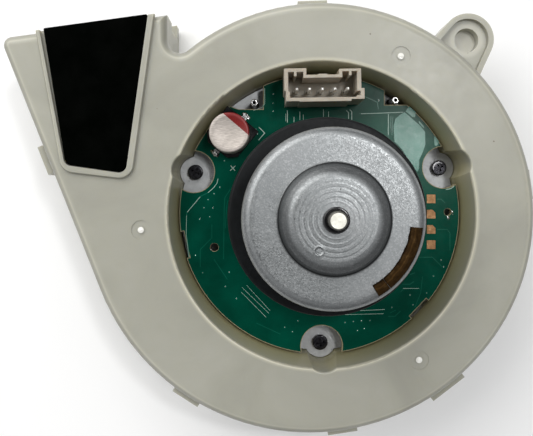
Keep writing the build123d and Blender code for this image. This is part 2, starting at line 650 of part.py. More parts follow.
put("driver_chip", obox(-11.0, -11.5, 0, 7.0, 7.0, Z_PCB - 1.1, Z_PCB))
fets = [obox(3.5 + 7.0 * i - 0.0, -17.0 + 2.2 * i, 0, 4.9, 6.0, Z_PCB - 1.2, Z_PCB) for i in range(3)]
put("power_transistors", Compound(children=fets))
chips = []
for i, (x, y, a) in enumerate([(-16.5, -5.0, 0), (-16.5, -2.6, 0), (-10.0, -17.5, 90), (-7.4, -17.5, 90),
                               (-4.8, -17.5, 90), (-18.0, -12.0, 90), (-18.0, -15.2, 90), (10.5, 14.0, 0),
                               (13.5, 14.0, 0), (16.5, 12.0, 0), (-6.0, 16.0, 0), (-6.0, 18.4, 0)]):
    chips.append(obox(x, y, a, 2.0, 1.25, Z_PCB - 0.55, Z_PCB))
put("chip_resistors", Compound(children=chips))

# ---------------------------------------------------------------- rotor
cup = revolved([
    (CUP_R - CUP_T, CUP_OPEN), (CUP_R, CUP_OPEN), (CUP_R, CUP_TOP - 1.7), (CUP_R - 0.45, CUP_TOP - 0.55),
    (CUP_R - 1.6, CUP_TOP), (DOME_R1 + 0.35, CUP_TOP), (DOME_R1, CUP_TOP + 0.35), (DOME_R2 + 0.3, DOME_TOP - 0.55),
    (DOME_R2 - 0.45, DOME_TOP - 0.05), (5.0, DOME_TOP + 0.12), (2.15, DOME_TOP + 0.15),
    (2.15, DOME_TOP - 0.8), (DOME_R2 - 1.1, DOME_TOP - 0.95), (DOME_R2 - 0.65, DOME_TOP - 1.4),
    (DOME_R1 - 0.9, CUP_TOP - 0.6), (DOME_R1 - 0.3, CUP_TOP - CUP_T), (CUP_R - 2.0, CUP_TOP - CUP_T),
    (CUP_R - CUP_T, CUP_TOP - 2.2)])
put("rotor_cup", cup)

ring = tube(RING_R, CUP_R, RING_Z0, RING_Z1)
ring = chamfer([e for e in ring.edges().filter_by(GeomType.CIRCLE) if abs(e.radius - RING_R) < 0.01], 0.35)
put("flux_ring", ring)
mag = tube(CUP_R - CUP_T, MAG_RI, 24.6, 43.0)
put("rotor_magnet", mag)
bush = tube(2.5, R_SHAFT, TUBE_TOP, TUBE_TOP + 0.6) + tube(4.2, R_SHAFT, TUBE_TOP + 0.6, DOME_TOP - 0.95 - 0.0)
put("rotor_hub_bush", bush)
collar = tube(2.15, R_SHAFT, DOME_TOP - 0.8, DOME_TOP + 0.75)
collar = chamfer([e for e in collar.edges() if e.center().Z > DOME_TOP + 0.7], 0.2)
put("shaft_collar", collar)

# balance putty strips bonded over the rounded shoulder of the cup
def strip(a0, a1, h):
    z = CUP_TOP
    base = revolved([(12.35, z), (12.5, z + h * 0.8), (12.85, z + h), (13.6, z + h), (14.3, z + 0.12),
                     (14.62, z - 0.25), (14.65, z - 0.55 * (14.65 - CUP_R + 1.6) / 1.15), (CUP_R - 1.6, z)])
    pts = [(0, 0)]
    k = max(2, int(abs(a1 - a0) / 8))
    for i in range(k + 1):
        pts.append(pol(30, a0 + (a1 - a0) * i / k))
    return base & poly(pts, z - 2, z + 3)


put("balance_strip_long", strip(-50.6, -5.5, 0.5))
put("balance_strip_short", strip(-60.0, -51.0, 0.45))

# ---------------------------------------------------------------- impeller
imp = cyl(R_IMP, Z_BACK, Z_BACK_TOP)
imp += cyl(6.0, 5.2, Z_BACK_TOP + 0.0)
blade_area = None
for i in range(N_BLADES):
    a0 = i * 360 / N_BLADES
    p_in = pol(15.5, a0)
    p_mid = pol(23.0, a0 + 17)
    p_out = pol(30.9, a0 + 42)
    line = ThreePointArc(p_in, p_mid, p_out)
    # thin blade as a closed band
    t = 0.45
    q_in = pol(15.5 + 0.0, a0 - 2.6)
    q_mid = pol(23.0, a0 + 17 - 2.3)
    q_out = pol(30.9, a0 + 42 - 1.6)
    band = make_face(Wire([ThreePointArc(p_in, p_mid, p_out), Line(p_out, q_out),
                           ThreePointArc(q_out, q_mid, q_in), Line(q_in, p_in)]))
    imp += Pos(0, 0, Z_BLADE) * extrude(band, Z_BACK - Z_BLADE + 0.2)
imp -= cyl(3.0, 0, 20)
put("impeller", imp)
put("impeller_shroud", tube(R_IMP, THROAT_R + 1.7, Z_SHROUD, Z_BLADE))
put("impeller_insert", tube(3.0, R_SHAFT, 5.2, 11.2))
put("impeller_retainer", tube(2.6, 1.5, 4.75, 5.2))
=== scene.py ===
import bpy, bmesh, math
from mathutils import Vector, Matrix, noise


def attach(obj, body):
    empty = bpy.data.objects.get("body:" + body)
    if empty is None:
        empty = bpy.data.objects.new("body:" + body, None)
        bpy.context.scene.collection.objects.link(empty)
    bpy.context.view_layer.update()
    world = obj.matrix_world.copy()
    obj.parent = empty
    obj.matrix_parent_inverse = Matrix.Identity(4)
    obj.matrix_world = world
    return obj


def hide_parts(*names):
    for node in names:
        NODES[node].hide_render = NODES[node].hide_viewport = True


# Combustion fan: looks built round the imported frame. All pieces are in the frame's metres; the
# numbers below are millimetres in that frame and are scaled by S when a mesh is made.
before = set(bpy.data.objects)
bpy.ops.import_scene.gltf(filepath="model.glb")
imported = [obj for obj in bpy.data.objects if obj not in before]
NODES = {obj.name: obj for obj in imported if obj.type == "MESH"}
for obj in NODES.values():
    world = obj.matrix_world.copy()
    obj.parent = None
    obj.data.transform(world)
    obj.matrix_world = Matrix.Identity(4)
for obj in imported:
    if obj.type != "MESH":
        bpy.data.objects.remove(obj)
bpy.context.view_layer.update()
S = 0.001
TAU = 2 * math.pi


# ------------------------------------------------------------------ small geometry kit
def pol(r, a):
    return (r * math.cos(math.radians(a)), r * math.sin(math.radians(a)))


def arc(cx, cy, r, a0, a1, n):
    return [(cx + r * math.cos(math.radians(a0 + (a1 - a0) * i / n)),
             cy + r * math.sin(math.radians(a0 + (a1 - a0) * i / n))) for i in range(n + 1)]


def rounded(points, radii, n=6, closed=True):
    """Polyline with its corners rounded. radii is one number or one per corner."""
    m = len(points)
    if not hasattr(radii, "__len__"):
        radii = [radii] * m
    out = []
    for i in range(m):
        p = Vector(points[i])
        if (not closed and i in (0, m - 1)) or radii[i] <= 0:
            out.append(tuple(p))
            continue
        a, b = Vector(points[i - 1]) - p, Vector(points[(i + 1) % m]) - p
        la, lb = a.length, b.length
        a.normalize(), b.normalize()
        cosang = max(-1, min(1, a.dot(b)))
        ang = math.acos(cosang)
        if ang > math.radians(178):
            out.append(tuple(p))
            continue
        d = min(radii[i] / math.tan(ang / 2), la * 0.49, lb * 0.49)
        r = d * math.tan(ang / 2)
        c = p + (a + b).normalized() * (r / math.sin(ang / 2))
        s, e = p + a * d, p + b * d
        v0, v1 = s - c, e - c
        t0 = math.atan2(v0.y, v0.x)
        t1 = math.atan2(v1.y, v1.x)
        dt = (t1 - t0 + math.pi) % TAU - math.pi
        for k in range(n + 1):
            t = t0 + dt * k / n
            out.append((c.x + r * math.cos(t), c.y + r * math.sin(t)))
    return out


def turned(points, angle, cx=0.0, cy=0.0):
    c, s = math.cos(math.radians(angle)), math.sin(math.radians(angle))
    return [(cx + (x - cx) * c - (y - cy) * s, cy + (x - cx) * s + (y - cy) * c) for x, y in points]


def finish_mesh(name, bm, mat, body, rep=(), sharp=32, bevel=0.0, seg=2, weld=True):
    if weld:
        bmesh.ops.remove_doubles(bm, verts=bm.verts, dist=1e-7)
    bmesh.ops.recalc_face_normals(bm, faces=bm.faces)
    me = bpy.data.meshes.new(name)
    bm.to_mesh(me)
    bm.free()
    me.polygons.foreach_set("use_smooth", [True] * len(me.polygons))
    me.set_sharp_from_angle(angle=math.radians(sharp))
    me.materials.append(mat)
    o = bpy.data.objects.new(name, me)
    bpy.context.scene.collection.objects.link(o)
    if bevel:
        m = o.modifiers.new("edge", "BEVEL")
        m.width = bevel * S
        m.segments = seg
        m.limit_method = "ANGLE"
        m.angle_limit = math.radians(34)
        m.harden_normals = True
        m.miter_outer = "MITER_ARC"
    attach(o, body)
    if rep:
        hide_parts(*rep)
    return o


def add_lathe(bm, profile, n=128, cx=0.0, cy=0.0, a0=0.0, closed=True, warp=None):
    """Adds a surface of revolution about Z. profile is a closed list of (radius, height)."""
    rows = []
    for r, z in profile:
        if abs(r) < 1e-6:
            p = (cx, cy, z)
            if warp:
                p = warp(*p)
            rows.append([bm.verts.new([c * S for c in p])] * n)
            continue
        row = []
        for i in range(n):
            t = math.radians(a0) + TAU * i / n
            p = (cx + r * math.cos(t), cy + r * math.sin(t), z)
            if warp:
                p = warp(*p)
            row.append(bm.verts.new([c * S for c in p]))
        rows.append(row)
    m = len(rows)
    for k in range(m if closed else m - 1):
        a, b = rows[k], rows[(k + 1) % m]
        for i in range(n):
            j = (i + 1) % n
            vs = []
            for v in (a[i], a[j], b[j], b[i]):
                if v not in vs:
                    vs.append(v)
            if len(vs) > 2:
                try:
                    bm.faces.new(vs)
                except ValueError:
                    pass


def fill_loops(bm, loops_of_verts):
    edges = []
    for lp in loops_of_verts:
        for i in range(len(lp)):
            a, b = lp[i], lp[(i + 1) % len(lp)]
            e = bm.edges.get((a, b)) or bm.edges.new((a, b))
            edges.append(e)
    if len(loops_of_verts) == 1:
        try:
            bm.faces.new(loops_of_verts[0])
            return
        except ValueError:
            pass
    bmesh.ops.triangle_fill(bm, use_beauty=True, use_dissolve=False, edges=edges)


def ring_of(bm, loop, z):
    return [bm.verts.new((x * S, y * S, z * S)) for x, y in loop]


def bridge(bm, a, b):
    n = len(a)
    for i in range(n):
        j = (i + 1) % n
        bm.faces.new((a[i], a[j], b[j], b[i]))


def add_prism(bm, loops, z0, z1):
    """Closed prism from an outer loop and any holes."""
    lo = [ring_of(bm, lp, z0) for lp in loops]
    hi = [ring_of(bm, lp, z1) for lp in loops]
    for a, b in zip(lo, hi):
        bridge(bm, a, b)
    fill_loops(bm, lo)
    fill_loops(bm, hi)


def add_pocket(bm, outer, inner, z0, zf, z1):
    """Prism with a blind pocket open at the top."""
    o0, o1 = ring_of(bm, outer, z0), ring_of(bm, outer, z1)
    i0, i1 = ring_of(bm, inner, zf), ring_of(bm, inner, z1)
    bridge(bm, o0, o1)
    bridge(bm, i0, i1)
    fill_loops(bm, [o0])
    fill_loops(bm, [i0])
    fill_loops(bm, [o1, i1])


def add_loft(bm, sections):
    """Closed loft through loops of equal length given as (loop, z)."""
    rows = [ring_of(bm, lp, z) for lp, z in sections]
    for a, b in zip(rows, rows[1:]):
        bridge(bm, a, b)
    fill_loops(bm, [rows[0]])
    fill_loops(bm, [rows[-1]])


def add_ribbon(bm, pts, w, z0, z1):
    """Flat raised line with slightly sloped sides along a polyline."""
    P = [Vector(p) for p in pts]
    left, right, il, ir = [], [], [], []
    for i, p in enumerate(P):
        d = Vector((0, 0))
        if i:
            d += (p - P[i - 1]).normalized()
        if i < len(P) - 1:
            d += (P[i + 1] - p).normalized()
        d.normalize()
        nrm = Vector((-d.y, d.x))
        k = 1.0
        if 0 < i < len(P) - 1:
            k = 1 / max(0.4, nrm.dot(Vector((-(P[i + 1] - p).normalized().y, (P[i + 1] - p).normalized().x))))
        left.append(p + nrm * w / 2 * k)
        right.append(p - nrm * w / 2 * k)
    loop = [tuple(v) for v in left] + [tuple(v) for v in reversed(right)]
    add_prism(bm, [loop], z0, z1)


def circle(r, n=32, cx=0.0, cy=0.0, a0=0.0):
    return [(cx + r * math.cos(math.radians(a0) + TAU * i / n), cy + r * math.sin(math.radians(a0) + TAU * i / n))
            for i in range(n)]


# ------------------------------------------------------------------ material kit
def lin(c):
    return tuple((v / 255 / 12.92) if v / 255 <= 0.04045 else ((v / 255 + 0.055) / 1.055) ** 2.4 for v in c) + (1.0,)


class Mat:
    """A node material. Lengths in its textures are millimetres of the frame."""

    def __init__(self, name, rough=0.5, metal=0.0, spec=0.5, stretch=(1, 1, 1)):
        self.m = bpy.data.materials.new(name)
        self.m.use_nodes = True
        self.t = self.m.node_tree
        self.b = self.t.nodes["Principled BSDF"]
        self.b.inputs["Roughness"].default_value = rough
        self.b.inputs["Metallic"].default_value = metal
        self.b.inputs["Specular IOR Level"].default_value = spec
        tc = self.node("ShaderNodeTexCoord")
        mp = self.node("ShaderNodeMapping")
        mp.inputs["Scale"].default_value = tuple(1000 * s for s in stretch)
        self.link(tc.outputs["Object"], mp.inputs["Vector"])
        self.mm = mp.outputs["Vector"]
        self.last_normal = None

    def node(self, kind, **props):
        n = self.t.nodes.new(kind)
        for k, v in props.items():
            setattr(n, k, v)
        return n

    def link(self, a, b):
        self.t.links.new(a, b)

    def noise(self, scale, detail=3.0, rough=0.55, vec=None, distortion=0.0):
        n = self.node("ShaderNodeTexNoise")
        n.inputs["Scale"].default_value = scale
        n.inputs["Detail"].default_value = detail
        n.inputs["Roughness"].default_value = rough
        n.inputs["Distortion"].default_value = distortion
        self.link(vec or self.mm, n.inputs["Vector"])
        return n.outputs["Fac"]

    def cells(self, scale, feature="F1", vec=None, out="Distance", rand=1.0):
        n = self.node("ShaderNodeTexVoronoi", feature=feature)
        n.inputs["Scale"].default_value = scale
        n.inputs["Randomness"].default_value = rand
        self.link(vec or self.mm, n.inputs["Vector"])
        return n.outputs[out]

    def ramp(self, fac, stops, interp="LINEAR"):
        n = self.node("ShaderNodeValToRGB")
        n.color_ramp.interpolation = interp
        e = n.color_ramp.elements
        while len(e) < len(stops):
            e.new(0.5)
        for el, (p, c) in zip(e, stops):
            el.position = p
            el.color = c if hasattr(c, "__len__") else (c, c, c, 1)
        self.link(fac, n.inputs["Fac"])
        return n.outputs["Color"]

    def remap(self, fac, a, b, c, d, smooth=False):
        n = self.node("ShaderNodeMapRange", interpolation_type="SMOOTHSTEP" if smooth else "LINEAR")
        for k, v in zip(("From Min", "From Max", "To Min", "To Max"), (a, b, c, d)):
            n.inputs[k].default_value = v
        self.link(fac, n.inputs["Value"])
        return n.outputs["Result"]

    def math(self, op, a, b=None, c=None):
        n = self.node("ShaderNodeMath", operation=op)
        for i, v in enumerate((a, b, c)):
            if v is None:
                continue
            if isinstance(v, (int, float)):
                n.inputs[i].default_value = v
            else:
                self.link(v, n.inputs[i])
        return n.outputs[0]

    def mix(self, fac, a, b, kind="MIX"):
        n = self.node("ShaderNodeMix", data_type="RGBA", blend_type=kind)
        for sock, v in ((n.inputs[0], fac), (n.inputs[6], a), (n.inputs[7], b)):
            if isinstance(v, (int, float)):
                sock.default_value = v
            elif isinstance(v, tuple):
                sock.default_value = v
            else:
                self.link(v, sock)
        return n.outputs[2]

    def xyz(self):
        n = self.node("ShaderNodeSeparateXYZ")
        self.link(self.mm, n.inputs[0])
        return n.outputs

    def bump(self, height, dist_mm, strength=1.0):
        n = self.node("ShaderNodeBump")
        n.inputs["Strength"].default_value = strength
        n.inputs["Distance"].default_value = dist_mm * S
        self.link(height, n.inputs["Height"])
        if self.last_normal is not None:
            self.link(self.last_normal, n.inputs["Normal"])
        self.last_normal = n.outputs["Normal"]
        self.link(n.outputs["Normal"], self.b.inputs["Normal"])
        return self

    def colour(self, v):
        if isinstance(v, tuple):
            self.b.inputs["Base Color"].default_value = v
        else:
            self.link(v, self.b.inputs["Base Color"])
        return self

    def roughness(self, v):
        self.link(v, self.b.inputs["Roughness"])
        return self

    def set(self, **kw):
        for k, v in kw.items():
            self.b.inputs[k.replace("_", " ")].default_value = v
        return self


def metal(name, dark, light, rough, grain=3.0, bump=0.01, stretch=(1, 1, 1), spots=None, fine=9.0, coat=0.0):
    k = Mat(name, metal=1.0, stretch=stretch)
    c = k.ramp(k.noise(grain * 0.25, 4), [(0.3, dark), (0.7, light)])
    if spots:
        s = k.remap(k.noise(1.1, 6, 0.7), 0.62, 0.72, 0, 1)
        c = k.mix(s, c, spots)
    k.colour(c)
    k.roughness(k.remap(k.noise(grain, 4), 0.3, 0.7, rough[0], rough[1]))
    k.bump(k.noise(fine, 3), bump, 0.8)
    k.b.inputs["Coat Weight"].default_value = coat
    return k.m


def plastic(name, dark, light, rough, grain=6.0, bump=0.01, var=0.12, spec=0.5, coat=0.0, sss=0.0):
    k = Mat(name, spec=spec)
    k.colour(k.ramp(k.noise(var, 4, 0.6), [(0.3, dark), (0.7, light)]))
    k.roughness(k.remap(k.noise(grain * 0.3, 4), 0.3, 0.7, rough[0], rough[1]))
    k.bump(k.noise(grain, 3), bump, 0.7)
    k.b.inputs["Coat Weight"].default_value = coat
    if sss:
        k.set(Subsurface_Weight=sss, Subsurface_Radius=(1.0, 0.85, 0.6), Subsurface_Scale=0.002)
    return k.m


def casing_material(name, well):
    """Moulded off-white plastic, slightly translucent, satin, with cloudy flow marks and dark specks; painted shade in
    the well, a joint line that is partly painted shadow, a painted light patch round the lug hole, and painted shade
    and highlight on the fillet slopes.
    """
    k = Mat(name, spec=0.42)
    big = k.noise(0.055, 5, 0.55, distortion=0.6)
    base = k.ramp(big, [(0.28, lin((156, 155, 144))), (0.5, lin((164, 163, 151))), (0.75, lin((172, 171, 160)))])
    cloud = k.remap(k.noise(0.35, 5, 0.65), 0.55, 0.8, 0, 0.22)
    base = k.mix(cloud, base, lin((154, 151, 136)))
    # specks of dark regrind
    sp = k.cells(0.21, out="Distance")
    speck = k.math("LESS_THAN", sp, 0.035)
    pick = k.math("GREATER_THAN", k.noise(0.23, 0), 0.60)
    base = k.mix(k.math("MULTIPLY", k.math("MULTIPLY", speck, pick), 0.7), base, lin((95, 85, 70)))
    if well:
        x, y, z = k.xyz()
        r = k.math("POWER", k.math("ADD", k.math("MULTIPLY", x, x), k.math("MULTIPLY", y, y)), 0.5)
        # painted shade: inside r 31 mm the wall is turned darker and olive the deeper it goes, standing in for the
        # shade in the well and the light bounced into it from the board
        inside = k.remap(r, 31.3, 30.6, 0, 1, True)
        deep = k.remap(z, 27.9, 20.5, 0.0, 1.0)
        well_painted_shade = k.ramp(deep, [(0.0, lin((190, 187, 170))), (0.35, lin((190, 185, 156))), (0.75, lin((184, 178, 142))), (1.0, lin((166, 160, 120)))])
        base = k.mix(inside, base, well_painted_shade)
    x, y, z = k.xyz()
    # dark line round the shell joint on the lower shell, outside r 38 mm: partly the real seam, partly painted shadow
    # under the upper shell's step
    far = k.math("GREATER_THAN", k.math("POWER", k.math("ADD", k.math("MULTIPLY", x, x), k.math("MULTIPLY", y, y)), 0.5), 38.0)
    gap = k.remap(k.math("ABSOLUTE", k.math("SUBTRACT", z, 19.4)), 0.12, 0.26, 0.0 if well else 0.66, 0.0)
    base = k.mix(k.math("MULTIPLY", far, gap), base, lin((74, 70, 56)))
    # painted light: a lighter patch round the lug hole at (31.6, 36.7), standing in for the light coming through the
    # thin plastic there
    lx, ly = k.math("SUBTRACT", x, 31.6), k.math("SUBTRACT", y, 36.7)
    ld = k.math("POWER", k.math("ADD", k.math("MULTIPLY", lx, lx), k.math("MULTIPLY", ly, ly)), 0.5)
    base = k.mix(k.remap(ld, 3.1, 4.1, 0.35, 0.0, True), base, lin((214, 212, 200)))
    # painted shade and highlight by the surface normal, above z 12 mm: the sloped band of the edge fillets is darkened
    # to about 0.8, a bright painted highlight line sits where the fillet nears the flat top, flat tops and vertical
    # walls are unchanged
    geo = k.node("ShaderNodeNewGeometry")
    nrm = k.node("ShaderNodeSeparateXYZ")
    k.link(geo.outputs["Normal"], nrm.inputs[0])
    up = k.ramp(nrm.outputs[2], [(0.0, 0.62), (0.05, 0.62), (0.16, 0.50), (0.62, 0.50), (0.84, 0.60), (0.93, 0.80), (0.975, 0.66), (1.0, 0.62)])
    edge = k.math("MULTIPLY", up, 1.6129)
    base_with_painted_slope_shade = k.mix(1.0, base, edge, "MULTIPLY")
    high = k.math("GREATER_THAN", z, 12.0)
    base = k.mix(high, base, base_with_painted_slope_shade)
    k.colour(base)
    k.roughness(k.remap(k.noise(0.5, 5, 0.6), 0.3, 0.75, 0.34, 0.47))
    k.bump(k.noise(5.5, 4, 0.6), 0.012, 0.55)
    k.bump(k.noise(0.09, 2), 0.25, 0.25)
    k.set(Subsurface_Weight=0.35, Subsurface_Radius=(1.0, 0.9, 0.62), Subsurface_Scale=0.0022, Coat_Weight=0.05, Coat_Roughness=0.2)
    return k.m


def zinc_material():
    """Zinc plate over drawn steel: fine crystal sparkle, cloudy patches and small dark pits; the faint turning rings
    are in the can's shape, not here.
    """
    k = Mat("zinc_plate", metal=1.0)
    cloud = k.noise(0.16, 4, 0.5)
    c = k.ramp(cloud, [(0.25, lin((132, 135, 136))), (0.55, lin((140, 143, 144))), (0.8, lin((148, 150, 151)))])
    flake = k.cells(5.2, out="Color")
    sep = k.node("ShaderNodeSeparateColor")
    k.link(flake, sep.inputs[0])
    c = k.mix(k.remap(sep.outputs[0], 0.6, 1.0, 0, 0.20), c, lin((212, 213, 214)))
    dots = k.math("MULTIPLY", k.math("LESS_THAN", k.cells(0.33), 0.045), k.math("GREATER_THAN", k.noise(0.4, 0), 0.58))
    c = k.mix(k.math("MULTIPLY", dots, 0.85), c, lin((50, 48, 48)))
    # painted shade: the flank of the raised centre is darkened, most in a thin line at its foot, standing in for the
    # slope's dark reflections and the shade in the crease
    x, y, z = k.xyz()
    r = k.math("POWER", k.math("ADD", k.math("MULTIPLY", x, x), k.math("MULTIPLY", y, y)), 0.5)
    flank_painted_shade = k.ramp(k.math("DIVIDE", r, 20.0), [(0.0, 1.0), (0.335, 1.0), (0.370, 0.90), (0.400, 0.70), (0.440, 0.62), (0.455, 0.45), (0.462, 0.14), (0.470, 0.50), (0.482, 1.0), (1.0, 1.0)])
    k.colour(k.mix(1.0, c, flank_painted_shade, "MULTIPLY"))
    k.roughness(k.math("ADD", k.remap(cloud, 0.3, 0.7, 0.40, 0.46), k.remap(sep.outputs[1], 0, 1, -0.10, 0.10)))
    k.bump(k.noise(5.5, 3, 0.6), 0.012, 0.5)
    k.bump(sep.outputs[2], 0.010, 0.5)
    return k.m


def board_material(name, body, pale, rough, spec=0.3, coat=0.0):
    """Green solder mask over copper; the copper below shows as lighter areas."""
    k = Mat(name, rough=rough, spec=spec)
    a = k.noise(0.16, 3, 0.5)
    c = k.ramp(a, [(0.35, body), (0.7, pale)])
    weave = k.cells(1.6, feature="F1", rand=0.35)
    c = k.mix(k.remap(weave, 0, 0.6, 0.06, 0.0), c, lin((20, 100, 78)))
    k.colour(c)
    k.roughness(k.remap(k.noise(1.2, 3), 0.3, 0.7, rough * 0.85, rough * 1.2))
    k.bump(k.noise(1.4, 3), 0.012, 0.35)
    k.set(Coat_Weight=coat, Coat_Roughness=0.08)
    return k.m


M = {}
M["case_up"] = casing_material("casing_plastic_upper", True)
M["case_low"] = casing_material("casing_plastic_lower", False)
M["zinc"] = zinc_material()
M["mask"] = board_material("solder_mask", lin((0, 60, 46)), lin((0, 76, 59)), 0.2, 0.08)
M["trace"] = board_material("mask_over_trace", lin((6, 84, 66)), lin((16, 102, 82)), 0.2, 0.25)
M["pour"] = board_material("mask_over_pour", lin((52, 112, 96)), lin((84, 138, 124)), 0.16, 0.16)

# ------------------------------------------------------------------ more materials
k = Mat("board_edge", rough=0.75)
x, y, z = k.xyz()
k.colour(k.ramp(k.noise(2.2, 4, 0.7), [(0.3, lin((136, 126, 96))), (0.7, lin((176, 166, 134)))]))
k.bump(k.math("SINE", k.math("MULTIPLY", z, 22.0)), 0.03, 0.5)
k.bump(k.noise(6, 3), 0.03, 0.6)
M["fr4"] = k.m

k = Mat("print_ink", rough=0.55)
k.colour(k.ramp(k.noise(2.5, 4, 0.7), [(0.3, lin((150, 182, 168))), (0.7, lin((196, 214, 204)))]))
k.bump(k.noise(8, 3), 0.008, 0.5)
M["ink"] = k.m

k = Mat("bare_copper_pad", rough=0.42, metal=0.75)
k.colour(k.ramp(k.noise(1.3, 5, 0.7), [(0.25, lin((104, 74, 48))), (0.5, lin((140, 104, 70))), (0.8, lin((176, 138, 98)))]))
k.bump(k.noise(7, 4, 0.7), 0.02, 0.6)
k.roughness(k.remap(k.noise(3, 3), 0.3, 0.7, 0.34, 0.52))
M["copper_pad"] = k.m

k = Mat("enamel_copper", rough=0.25, metal=0.9)
x, y, z = k.xyz()
k.colour(k.ramp(k.noise(2, 3), [(0.3, lin((150, 70, 28))), (0.7, lin((190, 98, 44)))]))
k.bump(k.math("SINE", k.math("MULTIPLY", z, 14.0)), 0.05, 0.8)
M["winding"] = k.m

# painted highlight: near-white and only part metal, so the pins read bright inside the dark pocket in place of their
# glints
k = Mat("pin_plate_painted_bright", rough=0.2, metal=0.4, spec=0.7)
k.colour(k.ramp(k.noise(1.6, 4, 0.6), [(0.3, lin((226, 225, 220))), (0.7, lin((250, 249, 245)))]))
k.roughness(k.remap(k.noise(3.0, 3), 0.3, 0.7, 0.12, 0.28))
k.bump(k.noise(5.0, 3), 0.02, 0.7)
M["pin"] = k.m
M["tin"] = metal("tin_plate", lin((186, 186, 186)), lin((230, 230, 228)), (0.12, 0.28), grain=4, bump=0.03, fine=5)
M["solder"] = metal("solder", lin((170, 172, 172)), lin((235, 235, 232)), (0.08, 0.25), grain=3, bump=0.08, fine=3)
M["steel"] = metal("ground_steel", lin((196, 194, 188)), lin((226, 224, 216)), (0.22, 0.36), grain=2.5, bump=0.006)
M["bearing"] = metal("bearing_steel", lin((170, 172, 176)), lin((205, 206, 210)), (0.15, 0.28), grain=3, bump=0.004)
M["lamination"] = metal("lamination_steel", lin((92, 94, 100)), lin((128, 130, 134)), (0.35, 0.5), grain=2, bump=0.02)
M["plate"] = metal("blasted_aluminium", lin((178, 180, 182)), lin((200, 202, 203)), (0.5, 0.64), grain=3, bump=0.03, fine=7, spots=lin((120, 122, 124)))
M["brass"] = metal("turned_brass", lin((168, 134, 66)), lin((206, 172, 96)), (0.22, 0.36), grain=3, bump=0.008)
M["magnet"] = metal("bonded_magnet", lin((50, 50, 54)), lin((74, 74, 78)), (0.55, 0.7), grain=5, bump=0.02)

k = Mat("shaft_end_steel", metal=1.0)
x, y, z = k.xyz()
r = k.math("POWER", k.math("ADD", k.math("MULTIPLY", x, x), k.math("MULTIPLY", y, y)), 0.5)
# painted shade: outside r 1.28 mm (the chamfer and the shaft's sides) the colour is darkened to 0.16 to 0.2, standing
# in for the dark reflection of the chamfer
face = k.ramp(k.math("DIVIDE", r, 2.0), [(0.0, 1.0), (0.615, 1.0), (0.64, 0.16), (1.0, 0.2)])
k.colour(k.mix(1.0, k.ramp(k.noise(1.8, 5, 0.7), [(0.3, lin((214, 212, 200))), (0.7, lin((243, 242, 232)))]), face, "MULTIPLY"))
k.bump(k.math("SINE", k.math("MULTIPLY", r, 60.0)), 0.004, 0.6)
k.bump(k.noise(2.2, 3), 0.02, 0.4)
k.roughness(k.remap(k.noise(3, 3), 0.3, 0.7, 0.34, 0.5))
k.set(Metallic=0.55)
M["shaft"] = k.m

k = Mat("flux_ring_coat", rough=0.5, metal=0.0, spec=0.16)
x, y, z = k.xyz()
k.colour(k.ramp(k.noise(0.5, 5, 0.65), [(0.3, lin((10, 12, 13))), (0.7, lin((19, 22, 24)))]))
k.bump(k.noise(3.2, 4, 0.7), 0.03, 0.5)
k.roughness(k.remap(k.noise(1.4, 4), 0.3, 0.7, 0.38, 0.56))
M["ring"] = k.m

M["gloss_black"] = plastic("gloss_black", lin((10, 10, 11)), lin((20, 20, 22)), (0.12, 0.24), grain=4, bump=0.006, var=1.0, coat=0.4)
M["black"] = plastic("moulded_black", lin((16, 16, 17)), lin((28, 28, 30)), (0.38, 0.52), grain=9, bump=0.012, var=0.8)
M["screw"] = metal("black_screw_finish", lin((26, 26, 28)), lin((58, 58, 62)), (0.24, 0.38), grain=4, bump=0.02, coat=0.5)

k = Mat("outlet_pad_sheet", rough=0.8, spec=0.0)
k.colour(k.ramp(k.noise(0.2, 5, 0.6), [(0.3, lin((2, 3, 2))), (0.7, lin((6, 7, 6)))]))
k.bump(k.cells(4.5, feature="SMOOTH_F1"), 0.02, 0.5)
k.bump(k.noise(0.25, 3), 0.3, 0.18)
k.roughness(k.remap(k.noise(0.7, 4), 0.3, 0.7, 0.52, 0.70))
M["pad"] = k.m

k = Mat("header_plastic", rough=0.42, spec=0.4)
k.colour(k.ramp(k.noise(0.5, 4), [(0.3, lin((160, 152, 138))), (0.7, lin((178, 170, 156)))]))
k.bump(k.noise(7, 4, 0.6), 0.012, 0.5)
k.roughness(k.remap(k.noise(2, 4), 0.3, 0.7, 0.36, 0.5))
k.set(Subsurface_Weight=0.45, Subsurface_Radius=(1.0, 0.75, 0.55), Subsurface_Scale=0.0014)
M["beige"] = k.m

# painted highlight: the gate nubs are coloured near white so each shows as a bright dot
M["nub"] = plastic("gate_nub_painted_highlight", lin((226, 225, 216)), lin((250, 249, 243)), (0.12, 0.3), grain=5, bump=0.03, var=1.2, coat=0.6)
M["insulator"] = plastic("insulator_plastic", lin((206, 203, 192)), lin((222, 220, 212)), (0.3, 0.42), grain=6, bump=0.008, sss=0.2)
M["cage"] = plastic("cage_plastic", lin((176, 160, 118)), lin((196, 182, 142)), (0.4, 0.5), grain=8, bump=0.006)
M["impeller"] = plastic("impeller_plastic", lin((120, 122, 120)), lin((140, 142, 139)), (0.36, 0.5), grain=6, bump=0.012, var=0.1)

k = Mat("balance_putty", rough=0.6, spec=0.03)
x, y, z = k.xyz()
r = k.math("POWER", k.math("ADD", k.math("MULTIPLY", x, x), k.math("MULTIPLY", y, y)), 0.5)
r = k.math("ADD", r, k.remap(k.noise(0.8, 3), 0.3, 0.7, -0.12, 0.12))
